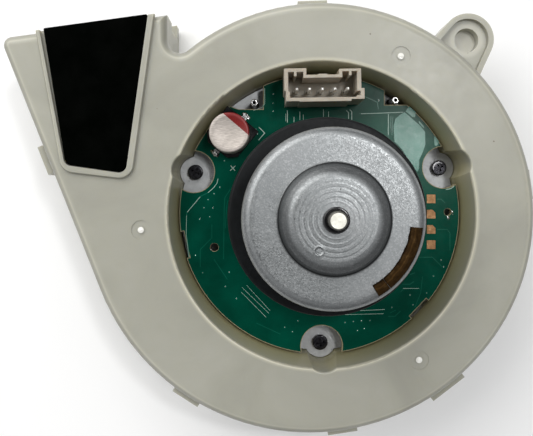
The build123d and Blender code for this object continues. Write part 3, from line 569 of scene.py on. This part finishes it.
# painted shade and highlight across the strip: its inner and outer edges darkened as gap shadow, one bright painted
# crease highlight near r 13.3 mm
putty_painted_shade_highlight = k.ramp(k.remap(r, 12.3, 14.75, 0.0, 1.0), [(0.0, 0.25), (0.09, 0.35), (0.16, 1.0), (0.32, 0.82), (0.40, 1.6), (0.47, 0.85), (0.80, 0.95), (0.90, 0.4), (1.0, 0.25)])
k.colour(k.mix(1.0, k.ramp(k.noise(0.9, 5, 0.7, distortion=0.5), [(0.25, lin((34, 22, 8))), (0.55, lin((54, 38, 18))), (0.8, lin((80, 62, 36)))]), putty_painted_shade_highlight, "MULTIPLY"))
k.bump(k.noise(1.3, 4, 0.6), 0.10, 0.6)
k.bump(k.noise(9, 3), 0.012, 0.6)
k.roughness(k.remap(k.noise(1.5, 4), 0.3, 0.7, 0.5, 0.7))
M["putty"] = k.m

CAP = (-18.35, 16.3)
k = Mat("capacitor_sleeve", metal=0.85, rough=0.3)
x, y, z = k.xyz()
u = k.math("ADD", k.math("MULTIPLY", k.math("SUBTRACT", x, CAP[0]), math.cos(math.radians(49.6))),
           k.math("MULTIPLY", k.math("SUBTRACT", y, CAP[1]), math.sin(math.radians(49.6))))
brush = k.node("ShaderNodeMapping")
brush.inputs["Rotation"].default_value = (0, 0, math.radians(-35))
brush.inputs["Scale"].default_value = (0.5, 4.0, 1.0)
k.link(k.mm, brush.inputs["Vector"])
br = k.noise(2.4, 4, 0.6, vec=brush.outputs["Vector"])
silver = k.ramp(br, [(0.3, lin((156, 147, 140))), (0.7, lin((204, 196, 188)))])
red = k.ramp(k.noise(3, 3), [(0.3, lin((104, 6, 5))), (0.7, lin((132, 14, 10)))])
top = k.math("GREATER_THAN", z, 25.9)
isred = k.math("MULTIPLY", k.math("GREATER_THAN", u, 2.07), top)
k.colour(k.mix(isred, silver, red))
k.link(k.remap(isred, 0, 1, 0.35, 0.0), k.b.inputs["Metallic"])
k.roughness(k.remap(isred, 0, 1, 0.46, 0.34))
k.bump(br, 0.012, 0.5)
M["cap"] = k.m

# ------------------------------------------------------------------ rotor can
CAN_DIMPLE = (-2.75, -4.94)


def can_warp(x, y, z):
    r = math.hypot(x, y)
    if z > 54.2 and r < 7.1:
        # faint turning rings and a small round tool mark on the raised centre
        fade = max(0.0, min(1.0, (r - 2.5) / 0.5)) * max(0.0, min(1.0, (7.0 - r) / 0.6))
        z += fade * (0.008 * math.cos(TAU * (r - 3.0) / 0.92) + 0.004 * math.cos(TAU * (r - 3.0) / 0.41))
        d = math.hypot(x - CAN_DIMPLE[0], y - CAN_DIMPLE[1])
        if d < 1.15:
            z += 0.085 * math.exp(-((d - 0.74) / 0.12) ** 2) - 0.11 * max(0.0, min(1.0, (0.66 - d) / 0.14))
    return x, y, z


outer = [(15.3, 23.5), (15.3, 51.6), (9.32, 51.6), (8.62, 53.5), (7.3, 54.62), (2.15, 54.72)]
rad = [0.35, 1.75, 0.42, 1.2, 2.6, 0.0]
prof = [(14.4, 23.5)] + rounded(outer, rad, 10, closed=False)[1:]
prof[0] = (14.4, 23.62)
prof = [(14.4, 23.75), (14.55, 23.5), (15.12, 23.5)] + [p for p in rounded([(15.3, 23.5)] + outer[1:], [0] + rad[1:], 12, closed=False)][1:]
# subdivide the long runs so that the rings have vertices to live in
dense = []
for i, p in enumerate(prof):
    dense.append(p)
    if i + 1 < len(prof):
        q = prof[i + 1]
        if min(p[1], q[1]) > 54.3:
            m = max(1, int(math.hypot(q[0] - p[0], q[1] - p[1]) / 0.085))
        elif abs(p[1] - q[1]) > 5:
            m = 8
        elif math.hypot(q[0] - p[0], q[1] - p[1]) > 1.2:
            m = 6
        else:
            m = 1
        for j in range(1, m):
            dense.append((p[0] + (q[0] - p[0]) * j / m, p[1] + (q[1] - p[1]) * j / m))
inner = [(2.15, 53.85), (7.05, 53.7), (7.5, 53.2), (8.3, 51.0), (8.9, 50.7), (13.3, 50.7), (14.4, 49.4)]
bm = bmesh.new()
add_lathe(bm, dense + inner, 300, warp=can_warp)
finish_mesh("rotor_can", bm, M["zinc"], "rotor", ["rotor_cup"], sharp=50)

# flux ring: rolled band with a butt seam and rounded edges
bm = bmesh.new()
gap = 0.16 / 18.1
prof = rounded([(15.32, 24.2), (18.1, 24.2), (18.1, 39.1), (15.32, 39.1)], [0.25, 0.55, 0.55, 0.25], 6)
SEAM = math.radians(-20)
rows = []
N = 240
for i in range(N + 1):
    t = SEAM + gap / 2 + (TAU - gap) * i / N
    rows.append([bm.verts.new((r * math.cos(t) * S, r * math.sin(t) * S, z * S)) for r, z in prof])
for a, b in zip(rows, rows[1:]):
    bridge(bm, a, b)
bm.faces.new(rows[0])
bm.faces.new(rows[-1])
finish_mesh("flux_band", bm, M["ring"], "rotor", ["flux_ring"], sharp=40)

# collar round the shaft
bm = bmesh.new()
add_lathe(bm, rounded([(1.52, 53.8), (2.14, 53.8), (2.14, 55.35), (1.52, 55.35)], [0.05, 0.12, 0.22, 0.1], 6), 96)
finish_mesh("collar", bm, M["gloss_black"], "rotor", ["shaft_collar"], sharp=50)


# ------------------------------------------------------------------ balance putty
def putty(name, a0, a1, h, seed, node):
    bm = bmesh.new()
    na, nc = max(10, int(abs(a1 - a0) * 1.6)), 14
    section = rounded([(12.38, 51.58), (12.52, 51.6 + h), (13.7, 51.6 + h * 0.98), (14.5, 51.5), (14.66, 51.1), (14.3, 51.02), (13.6, 51.5)],
                      [0.05, 0.22, 0.4, 0.25, 0.08, 0.08, 0.3], 5)
    rows = []
    for i in range(na + 1):
        t = i / na
        a = math.radians(a0 + (a1 - a0) * t)
        wob = 0.10 * noise.noise(Vector((t * 9 + seed, 0.3, seed)))
        row = []
        for j, (r, z) in enumerate(section):
            lift = 0.09 * noise.noise(Vector((t * 14 + seed, j * 0.35, 1.7))) if z > 51.62 else 0.0
            rr = r + (wob if z > 51.2 and r < 13 else 0.0)
            end = min(t, 1 - t) * abs(a1 - a0) / 1.1
            zz = z
            if z > 51.64:
                zz = 51.62 + (z - 51.62) * min(1.0, 0.72 + 0.28 * end) + lift * min(1, end)
            row.append(bm.verts.new((rr * math.cos(a) * S, rr * math.sin(a) * S, zz * S)))
        rows.append(row)
    for a, b in zip(rows, rows[1:]):
        bridge(bm, a, b)
    bm.faces.new(rows[0])
    bm.faces.new(rows[-1])
    return finish_mesh(name, bm, M["putty"], "rotor", [node], sharp=48)


putty("putty_long", -50.6, -5.5, 0.46, 2.0, "balance_strip_long")
putty("putty_short", -60.0, -51.0, 0.42, 7.0, "balance_strip_short")

# ------------------------------------------------------------------ circuit board
ZT = 21.1


def node_loops(node, z):
    """Boundary loops, in mm, of a CAD node's flat face at height z."""
    me = NODES[node].data
    co = [tuple(round(c / S, 4) for c in v.co) for v in me.vertices]
    count = {}
    for p in me.polygons:
        if all(abs(co[i][2] - z) < 1e-3 for i in p.vertices):
            vs = [co[i][:2] for i in p.vertices]
            for a, b in zip(vs, vs[1:] + vs[:1]):
                if (b, a) in count:
                    del count[(b, a)]
                else:
                    count[(a, b)] = 1
    nxt = {}
    for a, b in count:
        nxt.setdefault(a, []).append(b)
    loops = []
    while nxt:
        start = next(iter(nxt))
        lp, cur = [], start
        while cur in nxt and nxt[cur]:
            b = nxt[cur].pop()
            if not nxt[cur]:
                del nxt[cur]
            lp.append(cur)
            cur = b
            if cur == start:
                break
        if len(lp) > 2:
            loops.append(lp)
    return loops


def area(lp):
    return 0.5 * sum(a[0] * b[1] - b[0] * a[1] for a, b in zip(lp, lp[1:] + lp[:1]))


def inset(lp, d):
    """Moves each point of a closed loop to its left by d."""
    n, out = len(lp), []
    for i in range(n):
        p, a, b = Vector(lp[i]), Vector(lp[i - 1]), Vector(lp[(i + 1) % n])
        u, v = (p - a), (b - p)
        if u.length < 1e-6 or v.length < 1e-6:
            out.append(tuple(p))
            continue
        u.normalize(), v.normalize()
        nn = Vector((-u.y - v.y, u.x + v.x))
        if nn.length < 1e-6:
            out.append(tuple(p))
            continue
        nn.normalize()
        k = d / max(0.5, nn.dot(Vector((-v.y, v.x))))
        out.append(tuple(p + nn * k))
    return out


loops = node_loops("circuit_board", ZT)
loops.sort(key=lambda l: -abs(area(l)))
loops = [lp if (area(lp) > 0) == (i == 0) else lp[::-1] for i, lp in enumerate(loops)]
bm = bmesh.new()
add_prism(bm, loops, 19.54, ZT - 0.04)
finish_mesh("board_core", bm, M["fr4"], "housing", ["circuit_board"], sharp=35)
edge = [inset(lp, 0.13 if i == 0 else 0.06) for i, lp in enumerate(loops)]
bm = bmesh.new()
add_prism(bm, edge, ZT - 0.05, ZT)
finish_mesh("board_mask_top", bm, M["mask"], "housing", sharp=35)
bm = bmesh.new()
add_prism(bm, edge, 19.5, 19.55)
finish_mesh("board_mask_bottom", bm, M["mask"], "housing", sharp=35)

# copper under the mask: raised pours and tracks
POURS = [
    [(17.6, 21.0), (20.81, 18.2), (21.85, 16.9), (21.9, 14.3), (21.5, 13.0), (20.65, 11.1), (20.6, 9.3), (20.25, 8.5), (19.3, 10.1), (17.95, 11.65), (17.3, 13.0), (16.35, 14.1), (15.5, 14.9), (15.35, 18.1), (15.7, 19.6), (16.8, 20.5)],
    [(18.6, 22.2), (19.9, 21.0), (19.8, 19.9), (19.2, 20.0), (17.8, 21.15)],
    [(20.45, 19.4), (21.5, 18.2), (21.75, 17.45), (20.6, 18.7)],
    [(23.95, 16.1), (24.75, 14.8), (24.35, 14.0), (23.8, 14.1), (23.75, 15.8)],
]
bm = bmesh.new()
for p in POURS:
    add_prism(bm, [rounded(p, 0.18, 3)], ZT - 0.01, ZT + 0.035)
finish_mesh("board_pours", bm, M["pour"], "housing", sharp=30)

TRACKS = [
    ([(-11.29, 26.0), (-11.29, 22.67), (-11.8, 21.95)], 0.22), ([(-20.89, 7.38), (-21.1, 6.32), (-21.76, 5.4), (-22.95, 4.35), (-24.53, 3.61), (-26.6, 1.2), (-27.4, 0.26), (-27.49, -4.29), (-26.9, -9.04)], 0.24),
    ([(-18.33, 5.14), (-19.52, 3.29), (-19.65, 0.92), (-19.78, -9.4)], 0.16), ([(-18.9, 2.76), (-19.2, 0.92), (-19.39, -3.0)], 0.14),
    ([(8.29, 20.66), (11.8, 20.71), (17.31, 20.99)], 0.2), ([(14.3, 20.6), (14.25, 16.1)], 0.22), ([(14.8, 20.1), (14.75, 17.61)], 0.14), ([(15.2, 20.1), (15.0, 16.2)], 0.12),
    ([(-15.04, -14.77), (-10.1, -20.11)], 0.16), ([(-16.03, -15.16), (-10.29, -20.7)], 0.16), ([(-16.22, -16.15), (-10.89, -21.49)], 0.16),
    ([(17.19, -14.57), (18.77, -14.57), (19.56, -13.98)], 0.16), ([(16.79, -16.15), (17.58, -15.44), (20.74, -15.44)], 0.16), ([(18.77, -12.59), (19.76, -12.2)], 0.14),
    ([(8.29, -20.03), (13.63, -19.79)], 0.16), ([(3.94, -20.9), (13.43, -20.66)], 0.16), ([(14.62, -20.5), (15.8, -19.91)], 0.14), ([(14.22, -21.21), (15.6, -21.21), (16.79, -20.11)], 0.14),
    ([(-21.76, -9.43), (-18.99, -13.58)], 0.14), ([(26.07, 4.96), (27.2, 5.18), (27.9, 5.7)], 0.22), ([(21.34, -12.99), (20.9, -16.5), (19.76, -19.32)], 0.12),
    ([(-22.2, -2.2), (-22.2, -5.0), (-24.6, -7.4), (-24.6, -11.0)], 0.14), ([(-13.0, -22.6), (-8.0, -24.9)], 0.14), ([(20.6, -9.0), (23.4, -9.0), (25.4, -11.0)], 0.14),
    ([(24.4, 3.0), (25.2, 3.0), (26.0, 2.2)], 0.14), ([(24.4, -3.25), (26.4, -3.25), (27.0, -4.0), (27.0, -7.6)], 0.14), ([(9.0, 24.4), (12.0, 23.0), (12.2, 21.6)], 0.14),
]
bm = bmesh.new()
for pts, w in TRACKS:
    add_ribbon(bm, pts, w, ZT - 0.01, ZT + 0.03)
finish_mesh("board_tracks", bm, M["trace"], "housing", sharp=30)

# silk-screen: outlines only
PRINT = [
    ([(-12.48, 17.87), (-11.29, 16.68), (-12.53, 15.21)], 0.13), ([(-18.33, 9.93), (-17.41, 8.88)], 0.13), ([(-17.36, 9.88), (-18.41, 8.88)], 0.13),
    ([(-13.24, 17.53), (-12.66, 17.0), (-12.8, 16.34)], 0.12),
    ([(-6.6, 21.35), (-6.6, 18.84)], 0.13), ([(-6.92, 20.69), (-6.92, 19.11)], 0.08), ([(-5.23, 20.03), (-5.23, 18.9)], 0.10), ([(-4.02, 21.08), (-4.02, 19.37)], 0.11), ([(-3.31, 20.48), (-3.31, 19.37)], 0.09),
    ([(0.86, 21.61), (0.86, 20.03)], 0.10), ([(1.91, 21.08), (1.91, 20.03)], 0.10), ([(5.6, 21.3), (6.05, 20.9), (6.05, 19.63)], 0.12), ([(6.3, 21.5), (6.71, 21.1), (6.71, 19.37)], 0.12),
    ([(-11.29, 25.9), (-11.29, 22.7), (-11.8, 21.98), (-13.6, 21.35)], 0.07), ([(-27.45, -0.4), (-27.49, -4.29), (-26.9, -9.04)], 0.06), ([(-24.6, 3.5), (-27.3, 0.3)], 0.09), ([(-20.95, 7.2), (-21.15, 6.3), (-21.8, 5.4), (-23.0, 4.35)], 0.10),
    ([(8.6, 20.64), (17.2, 20.96)], 0.07), ([(14.28, 20.5), (14.25, 16.3)], 0.09), ([(17.3, -15.44), (20.6, -15.44)], 0.06), ([(8.4, -20.03), (13.5, -19.8)], 0.07), ([(4.2, -20.88), (13.3, -20.66)], 0.06),
    ([(-15.0, -14.8), (-10.2, -20.0)], 0.06), ([(-16.0, -15.2), (-10.4, -20.6)], 0.06), ([(-16.1, -16.2), (-11.0, -21.4)], 0.06), ([(26.2, 4.98), (27.2, 5.2), (27.85, 5.7)], 0.12),
]
bm = bmesh.new()
for pts, w in PRINT:
    add_ribbon(bm, pts, w, ZT - 0.01, ZT + 0.045)
finish_mesh("board_print", bm, M["ink"], "housing", sharp=30)

VIAS = [(-9.45, 24.75), (-9.55, 22.85), (-9.55, 21.16), (-20.52, 5.45), (-21.73, 4.13), (-22.97, 2.9), (-23.84, 1.23), (-21.94, 1.18), (-19.6, 10.94),
        (-24.73, -1.13), (-22.63, -0.65), (-19.39, -15.05), (-17.09, -17.54), (-18.6, -12.12), (18.77, -16.82), (19.36, -18.84), (15.01, -19.39), (-4.36, -22.16),
        (5.32, -22.48), (7.02, -22.28), (8.69, -22.16), (10.46, -22.08), (-5.55, -24.38), (7.89, -24.14), (9.28, -23.74), (-7.13, -23.47), (20.31, 9.59),
        (25.2, -9.6), (23.6, -12.9), (12.2, 23.4), (25.7, 9.9 - 20.9), (22.2, -16.4), (-25.6, -8.6), (-24.1, -12.2)]
bm = bmesh.new()
for x, y in VIAS:
    add_lathe(bm, [(0.10, ZT - 0.01), (0.27, ZT - 0.01), (0.25, ZT + 0.03), (0.12, ZT + 0.035)], 20, x, y)
finish_mesh("board_vias", bm, M["trace"], "housing", sharp=40)
bm = bmesh.new()
for x, y in VIAS:
    add_lathe(bm, [(0, ZT - 0.01), (0.11, ZT - 0.01), (0.09, ZT + 0.03), (0, ZT + 0.045)], 16, x, y, closed=False)
finish_mesh("via_plugs", bm, M["solder"], "housing", sharp=60)

# bare copper test pads, two with a clipped corner
bm = bmesh.new()
for i, y in enumerate((3.06, -0.09, -3.25, -6.39)):
    a = 0.9
    if i in (1, 2):
        lp = [(23.1 - a, y - a), (23.1 + a, y - a), (23.1 + a, y + a - 0.62), (23.1 + a - 0.62, y + a), (23.1 - a, y + a)]
    else:
        lp = [(23.1 - a, y - a), (23.1 + a, y - a), (23.1 + a, y + a), (23.1 - a, y + a)]
    add_prism(bm, [rounded(lp, 0.08, 3)], ZT, ZT + 0.06)
finish_mesh("copper_pads", bm, M["copper_pad"], "housing", ["test_pads"], sharp=30, bevel=0.02)


# solder on the plated holes and round the capacitor's legs
def blob(bm, cx, cy, lx, ly, h, ang, z=ZT, seed=1.0, rough=0.18, hole=0.0):
    nu, nv = 40, 10
    rows = []
    for j in range(nv + 1):
        t = j / nv
        row = []
        for i in range(nu):
            a = TAU * i / nu
            f = 1 - t * (1 - hole)
            px, py = math.cos(a) * lx * f, math.sin(a) * ly * f
            q = Vector((px * 1.3 + seed, py * 1.3, seed * 0.7))
            edge = 1 + 0.16 * noise.noise(Vector((math.cos(a) * 1.4 + seed, math.sin(a) * 1.4, 0.5)))
            zz = h * (1 - (1 - t) ** 2) * (1 + rough * 2.2 * noise.noise(q * 1.4)) if t > 0 else 0.0
            ca, sa = math.cos(math.radians(ang)), math.sin(math.radians(ang))
            px, py = px * edge, py * edge
            row.append(bm.verts.new(((cx + px * ca - py * sa) * S, (cy + px * sa + py * ca) * S, (z + zz) * S)))
        rows.append(row)
    for a, b in zip(rows, rows[1:]):
        bridge(bm, a, b)
    bm.faces.new(rows[0])
    bm.faces.new(rows[-1])


bm = bmesh.new()
CA = 50.6
for sgn in (-1, 1):
    x, y = CAP[0] + sgn * 5.0 * math.cos(math.radians(CA)), CAP[1] + sgn * 5.0 * math.sin(math.radians(CA))
    blob(bm, x, y, 0.62, 1.05, 0.42, CA, z=ZT - 0.01, seed=3.0 + sgn, rough=0.5)
for (x, y, r, sd) in ((27.5, 0.35, 0.22, 2.0), (26.65, -0.78, 0.30, 5.0), (27.6, -0.2, 0.13, 6.0), (-22.35, -7.5, 0.16, 8.0)):
    blob(bm, x, y, r, r * 1.25, 0.12, 30, z=ZT - 0.005, seed=sd)
finish_mesh("solder_fillets", bm, M["solder"], "housing", sharp=80)

# ------------------------------------------------------------------ header
TURN, CON = 0.9, (0.0, 25.3)
ZH = ZT + 9.2
con_out = [(-7.2, 22.15), (-4.6, 22.15), (-4.6, 22.03), (5.45, 22.03), (5.45, 22.4), (8.0, 22.4), (8.0, 24.5),
           (7.4, 24.5), (7.4, 28.3), (3.15, 28.3), (3.15, 27.2), (0.95, 27.2), (0.75, 27.38), (-0.75, 27.38),
           (-0.95, 27.2), (-3.2, 27.2), (-3.2, 28.5), (-7.5, 28.5), (-7.5, 24.2), (-7.2, 24.0)]
con_in = [(-6.45, 22.8), (6.5, 22.8), (6.5, 23.1), (7.25, 23.1), (7.25, 24.0), (6.6, 24.0), (6.6, 27.8), (5.55, 27.8), (5.55, 27.0), (5.05, 27.0), (5.05, 27.8), (3.75, 27.8),
          (3.75, 26.62), (-3.8, 26.62), (-3.8, 27.8), (-5.1, 27.8), (-5.1, 27.0), (-5.6, 27.0), (-5.6, 27.8), (-6.75, 27.8), (-6.75, 24.1), (-6.45, 23.9)]
bm = bmesh.new()
add_pocket(bm, turned(con_out, TURN, *CON), turned(con_in, TURN, *CON), ZT, ZT + 1.8, ZH)
finish_mesh("header_shell", bm, M["beige"], "housing", ["connector_housing"], sharp=30, bevel=0.13, seg=3)


def square(h, cx, cy, corner=0.12):
    return turned(rounded([(cx - h, cy - h), (cx + h, cy - h), (cx + h, cy + h), (cx - h, cy + h)], corner * h / 0.32, 3), TURN, *CON)


bm = bmesh.new()
for x in (-5.0, -2.5, 0.0, 2.5, 5.0):
    y = 24.66
    add_loft(bm, [(square(0.2, x, y), 17.9), (square(0.3, x, y), 18.2), (square(0.32, x, y), 18.4), (square(0.32, x, y), 28.35), (square(0.30, x, y), 28.6), (square(0.2, x, y), 29.02), (square(0.13, x, y), 29.1)])
finish_mesh("header_pins", bm, M["pin"], "housing", ["connector_pins"], sharp=40)
# sockets moulded round each pin on the header's floor
bm = bmesh.new()
for x in (-5.0, -2.5, 0.0, 2.5, 5.0):
    y = 24.66
    add_prism(bm, [square(0.62, x, y, 0.1), square(0.36, x, y)[::-1]], ZT + 1.75, ZT + 2.15)
finish_mesh("header_floor_collars", bm, M["beige"], "housing", sharp=30, bevel=0.05)

# ------------------------------------------------------------------ capacitor
bm = bmesh.new()
pc = rounded([(3.55, 22.0), (4.0, 22.0), (4.0, 22.85), (3.72, 23.15), (4.0, 23.45), (4.0, 27.3), (3.3, 27.3), (3.2, 27.24)],
             [0.05, 0.25, 0.15, 0.2, 0.15, 0.34, 0.06, 0.03], 6, closed=False)
add_lathe(bm, [(0, 22.0)] + pc + [(0, 27.24)], 120, CAP[0], CAP[1], closed=False)
finish_mesh("capacitor_body", bm, M["cap"], "housing", ["capacitor_can"], sharp=50)
b = 4.15
base = [(-b + 1.6, -b), (b, -b), (b, b), (-b + 1.6, b), (-b, b - 1.6), (-b, -b + 1.6)]
base = turned([(x + CAP[0], y + CAP[1]) for x, y in base], CA, *CAP)
ri = circle(4.06, 72, *CAP)
bm = bmesh.new()
add_pocket(bm, base, ri, ZT + 0.12, ZT + 0.9, ZT + 1.3)
finish_mesh("capacitor_seat", bm, M["gloss_black"], "housing", ["capacitor_base"], sharp=35, bevel=0.14)
bm = bmesh.new()
for sgn in (-1, 1):
    cx, cy = CAP[0] + sgn * 3.5 * math.cos(math.radians(CA)), CAP[1] + sgn * 3.5 * math.sin(math.radians(CA))
    lp = [(cx - 1.85, cy - 0.6), (cx + 1.85, cy - 0.6), (cx + 1.85, cy + 0.6), (cx - 1.85, cy + 0.6)]
    add_prism(bm, [turned(rounded(lp, 0.12, 3), CA, cx, cy)], ZT, ZT + 0.28)
finish_mesh("capacitor_legs", bm, M["tin"], "housing", ["capacitor_terminals"], sharp=35, bevel=0.06)

# ------------------------------------------------------------------ screws and pins
SCREWS = [pol(27.35, a) for a in (20.5, 161.5, 271.0)]


def add_screw(bm, cx, cy, ang):
    n = 64
    z = 16.6
    head = rounded([(1.02, z), (1.6, z), (1.6, z + 1.2), (1.06, z + 1.2)], [0.02, 0.12, 0.45, 0.0], 7, closed=False)
    shank = [(0.02, 12.05), (0.55, 12.1), (0.98, 12.7)]
    # rolled thread
    zz = 12.9
    while zz < 16.0:
        shank += [(0.82, zz), (0.98, zz + 0.2), (0.98, zz + 0.28)]
        zz += 0.5
    prof = shank + [(0.98, 16.5)] + head
    rows = []
    for r, h in prof:
        rows.append([bm.verts.new(((cx + r * math.cos(TAU * i / n)) * S, (cy + r * math.sin(TAU * i / n)) * S, h * S)) for i in range(n)])
    bm.faces.new(rows[0])
    for a, b in zip(rows, rows[1:]):
        bridge(bm, a, b)
    # cross recess
    w, l = 0.2, 0.86
    cross = [(w, -w), (l, -w), (l, w), (w, w), (w, l), (-w, l), (-w, w), (-l, w), (-l, -w), (-w, -w), (-w, -l), (w, -l)]
    top = turned([(cx + x, cy + y) for x, y in cross], ang, cx, cy)
    deep = turned([(cx + x * 0.72, cy + y * 0.72) for x, y in cross], ang, cx, cy)
    t, d = ring_of(bm, top, z + 1.2), ring_of(bm, deep, z + 0.55)
    fill_loops(bm, [rows[-1], t])
    bridge(bm, t, d)
    fill_loops(bm, [d])


bm = bmesh.new()
for i, (x, y) in enumerate(SCREWS):
    add_screw(bm, x, y, (28, 61, 12)[i])
finish_mesh("case_screws", bm, M["screw"], "housing", ["motor_screws"], sharp=38)

bm = bmesh.new()
for x, y in ((-13.45, 22.9), (15.65, 23.4)):
    add_lathe(bm, rounded([(0.3, 12.9), (0.75, 12.9), (0.75, 21.6), (0.32, 21.6)], [0.05, 0.15, 0.26, 0.12], 6), 48, x, y)
finish_mesh("dowel_pins", bm, M["tin"], "housing", ["locating_pins"], sharp=50)

# ------------------------------------------------------------------ outlet pad
bm = bmesh.new()
pad = rounded([(-38.7, 8.2), (-34.3, 39.45), (-54.8, 36.65), (-50.4, 9.9)], [1.5, 0.3, 0.3, 1.5], 8)
add_prism(bm, [pad], 27.62, 28.5)
finish_mesh("outlet_pad_sheet", bm, M["pad"], "housing", ["outlet_pad"], sharp=35, bevel=0.22, seg=4)

# gate nubs left by the mould
bm = bmesh.new()
for gx, gy in ((-35.7, -3.0), (15.5, 31.25), (19.1, -28.6)):
    add_lathe(bm, [(0, 27.9), (0.62, 27.9), (0.62, 28.0), (0.55, 28.07), (0.30, 28.09), (0.22, 28.14), (0.12, 28.17), (0, 28.18)], 32, gx, gy, closed=False)
finish_mesh("gate_nubs", bm, M["nub"], "housing", sharp=40)

# ------------------------------------------------------------------ finishes of the carried-over nodes
ASSIGN = {
    "upper_casing": "case_up", "lower_casing": "case_low", "motor_base_plate": "plate", "bearing_tube": "plate",
    "lower_bearing_outer_race": "bearing", "lower_bearing_inner_race": "bearing", "lower_bearing_shields": "bearing",
    "lower_bearing_balls": "bearing", "lower_bearing_cage": "cage", "upper_bearing_outer_race": "bearing",
    "upper_bearing_inner_race": "bearing", "upper_bearing_shields": "bearing", "upper_bearing_balls": "bearing",
    "upper_bearing_cage": "cage", "preload_washer": "steel", "motor_shaft": "shaft", "shaft_clip": "steel",
    "stator_core": "lamination", "stator_insulator_upper": "insulator", "stator_insulator_lower": "insulator",
    "stator_windings": "winding", "winding_terminals": "tin", "hall_sensors": "black", "driver_chip": "black",
    "power_transistors": "black", "chip_resistors": "black", "rotor_magnet": "magnet", "rotor_hub_bush": "brass",
    "impeller": "impeller", "impeller_shroud": "impeller", "impeller_insert": "brass", "impeller_retainer": "steel",
}
for n, o in NODES.items():
    if o.hide_render:
        continue
    for i in range(max(1, len(o.material_slots))):
        if not o.material_slots:
            o.data.materials.append(M[ASSIGN[n]])
        else:
            o.material_slots[i].material = M[ASSIGN[n]]

# ------------------------------------------------------------------ floor, light, camera
bm = bmesh.new()
R = 3.0
rows = []
for j in range(41):
    v = -1 + 2 * j / 40
    rows.append([bm.verts.new(((-1 + 2 * i / 40) * R, v * R, -0.0003)) for i in range(41)])
for j in range(40):
    for i in range(40):
        bm.faces.new((rows[j][i], rows[j][i + 1], rows[j + 1][i + 1], rows[j + 1][i]))
me = bpy.data.meshes.new("floor")
bm.to_mesh(me)
bm.free()
k = Mat("floor_white", rough=0.9, spec=0.1)
k.colour(k.ramp(k.noise(0.01, 2), [(0.3, (0.955, 0.955, 0.955, 1)), (0.7, (0.97, 0.97, 0.97, 1))]))
me.materials.append(k.m)
floor = bpy.data.objects.new("floor", me)
bpy.context.scene.collection.objects.link(floor)

w = bpy.data.worlds.new("studio")
bpy.context.scene.world = w
w.use_nodes = True
# studio surround by direction: dark round the zenith, bright band at 30 to 60 degrees up, dim at the horizon
wt = w.node_tree
wb = wt.nodes["Background"]
wc = wt.nodes.new("ShaderNodeTexCoord")
wn = wt.nodes.new("ShaderNodeVectorMath")
wn.operation = "NORMALIZE"
wt.links.new(wc.outputs["Generated"], wn.inputs[0])
ws = wt.nodes.new("ShaderNodeSeparateXYZ")
wt.links.new(wn.outputs[0], ws.inputs[0])
wr = wt.nodes.new("ShaderNodeValToRGB")
for i, (p, v) in enumerate(((0.0, 0.12), (0.16, 0.14), (0.40, 0.50), (0.60, 0.74), (0.85, 0.74), (0.93, 0.12), (1.0, 0.05))):
    e = wr.color_ramp.elements[i] if i < 2 else wr.color_ramp.elements.new(p)
    e.position, e.color = p, (v * 0.985, v * 0.99, v, 1)
wt.links.new(ws.outputs[2], wr.inputs["Fac"])
wd = wt.nodes.new("ShaderNodeVectorMath")
wd.operation = "DOT_PRODUCT"
wd.inputs[1].default_value = (-0.26, 0.38, 0.0)
wt.links.new(wn.outputs[0], wd.inputs[0])
wm = wt.nodes.new("ShaderNodeMath")
wm.operation = "ADD"
wm.inputs[1].default_value = 1.0
wt.links.new(wd.outputs["Value"], wm.inputs[0])
wt.links.new(wr.outputs["Color"], wb.inputs["Color"])
wt.links.new(wm.outputs[0], wb.inputs["Strength"])


def softbox(name, pos, target, sx, sy, watts, colour=(1, 1, 1)):
    l = bpy.data.lights.new(name, "AREA")
    l.shape = "RECTANGLE"
    l.size, l.size_y = sx, sy
    l.energy = watts
    l.color = colour
    o = bpy.data.objects.new(name, l)
    o.location = pos
    d = Vector(target) - Vector(pos)
    o.rotation_mode = "QUATERNION"
    o.rotation_quaternion = d.to_track_quat("-Z", "Y")
    bpy.context.scene.collection.objects.link(o)
    return o


softbox("key", (-0.24, 0.28, 0.33), (0, 0, 0.03), 0.48, 0.42, 1.62, (1.0, 0.99, 0.97))
softbox("lamp", (0.140, 0.056, 0.60), (0, 0, 0.03), 0.060, 0.080, 0.36)
softbox("side_lamp", (0.152, 0.156, 0.60), (0, 0, 0.03), 0.056, 0.050, 0.62)

cam = bpy.data.cameras.new("camera")
cam.sensor_width = 36.0
cam.lens = 47.39
cam.shift_x = 4.5 / 533
cam.shift_y = -26.0 / 533
cam.clip_start, cam.clip_end = 0.01, 20
co = bpy.data.objects.new("camera", cam)
co.location = (-0.01184, 0.00448, 0.1661)
bpy.context.scene.collection.objects.link(co)
bpy.context.scene.camera = co
bpy.context.scene.view_settings.view_transform = "Standard"

bpy.context.view_layer.update()
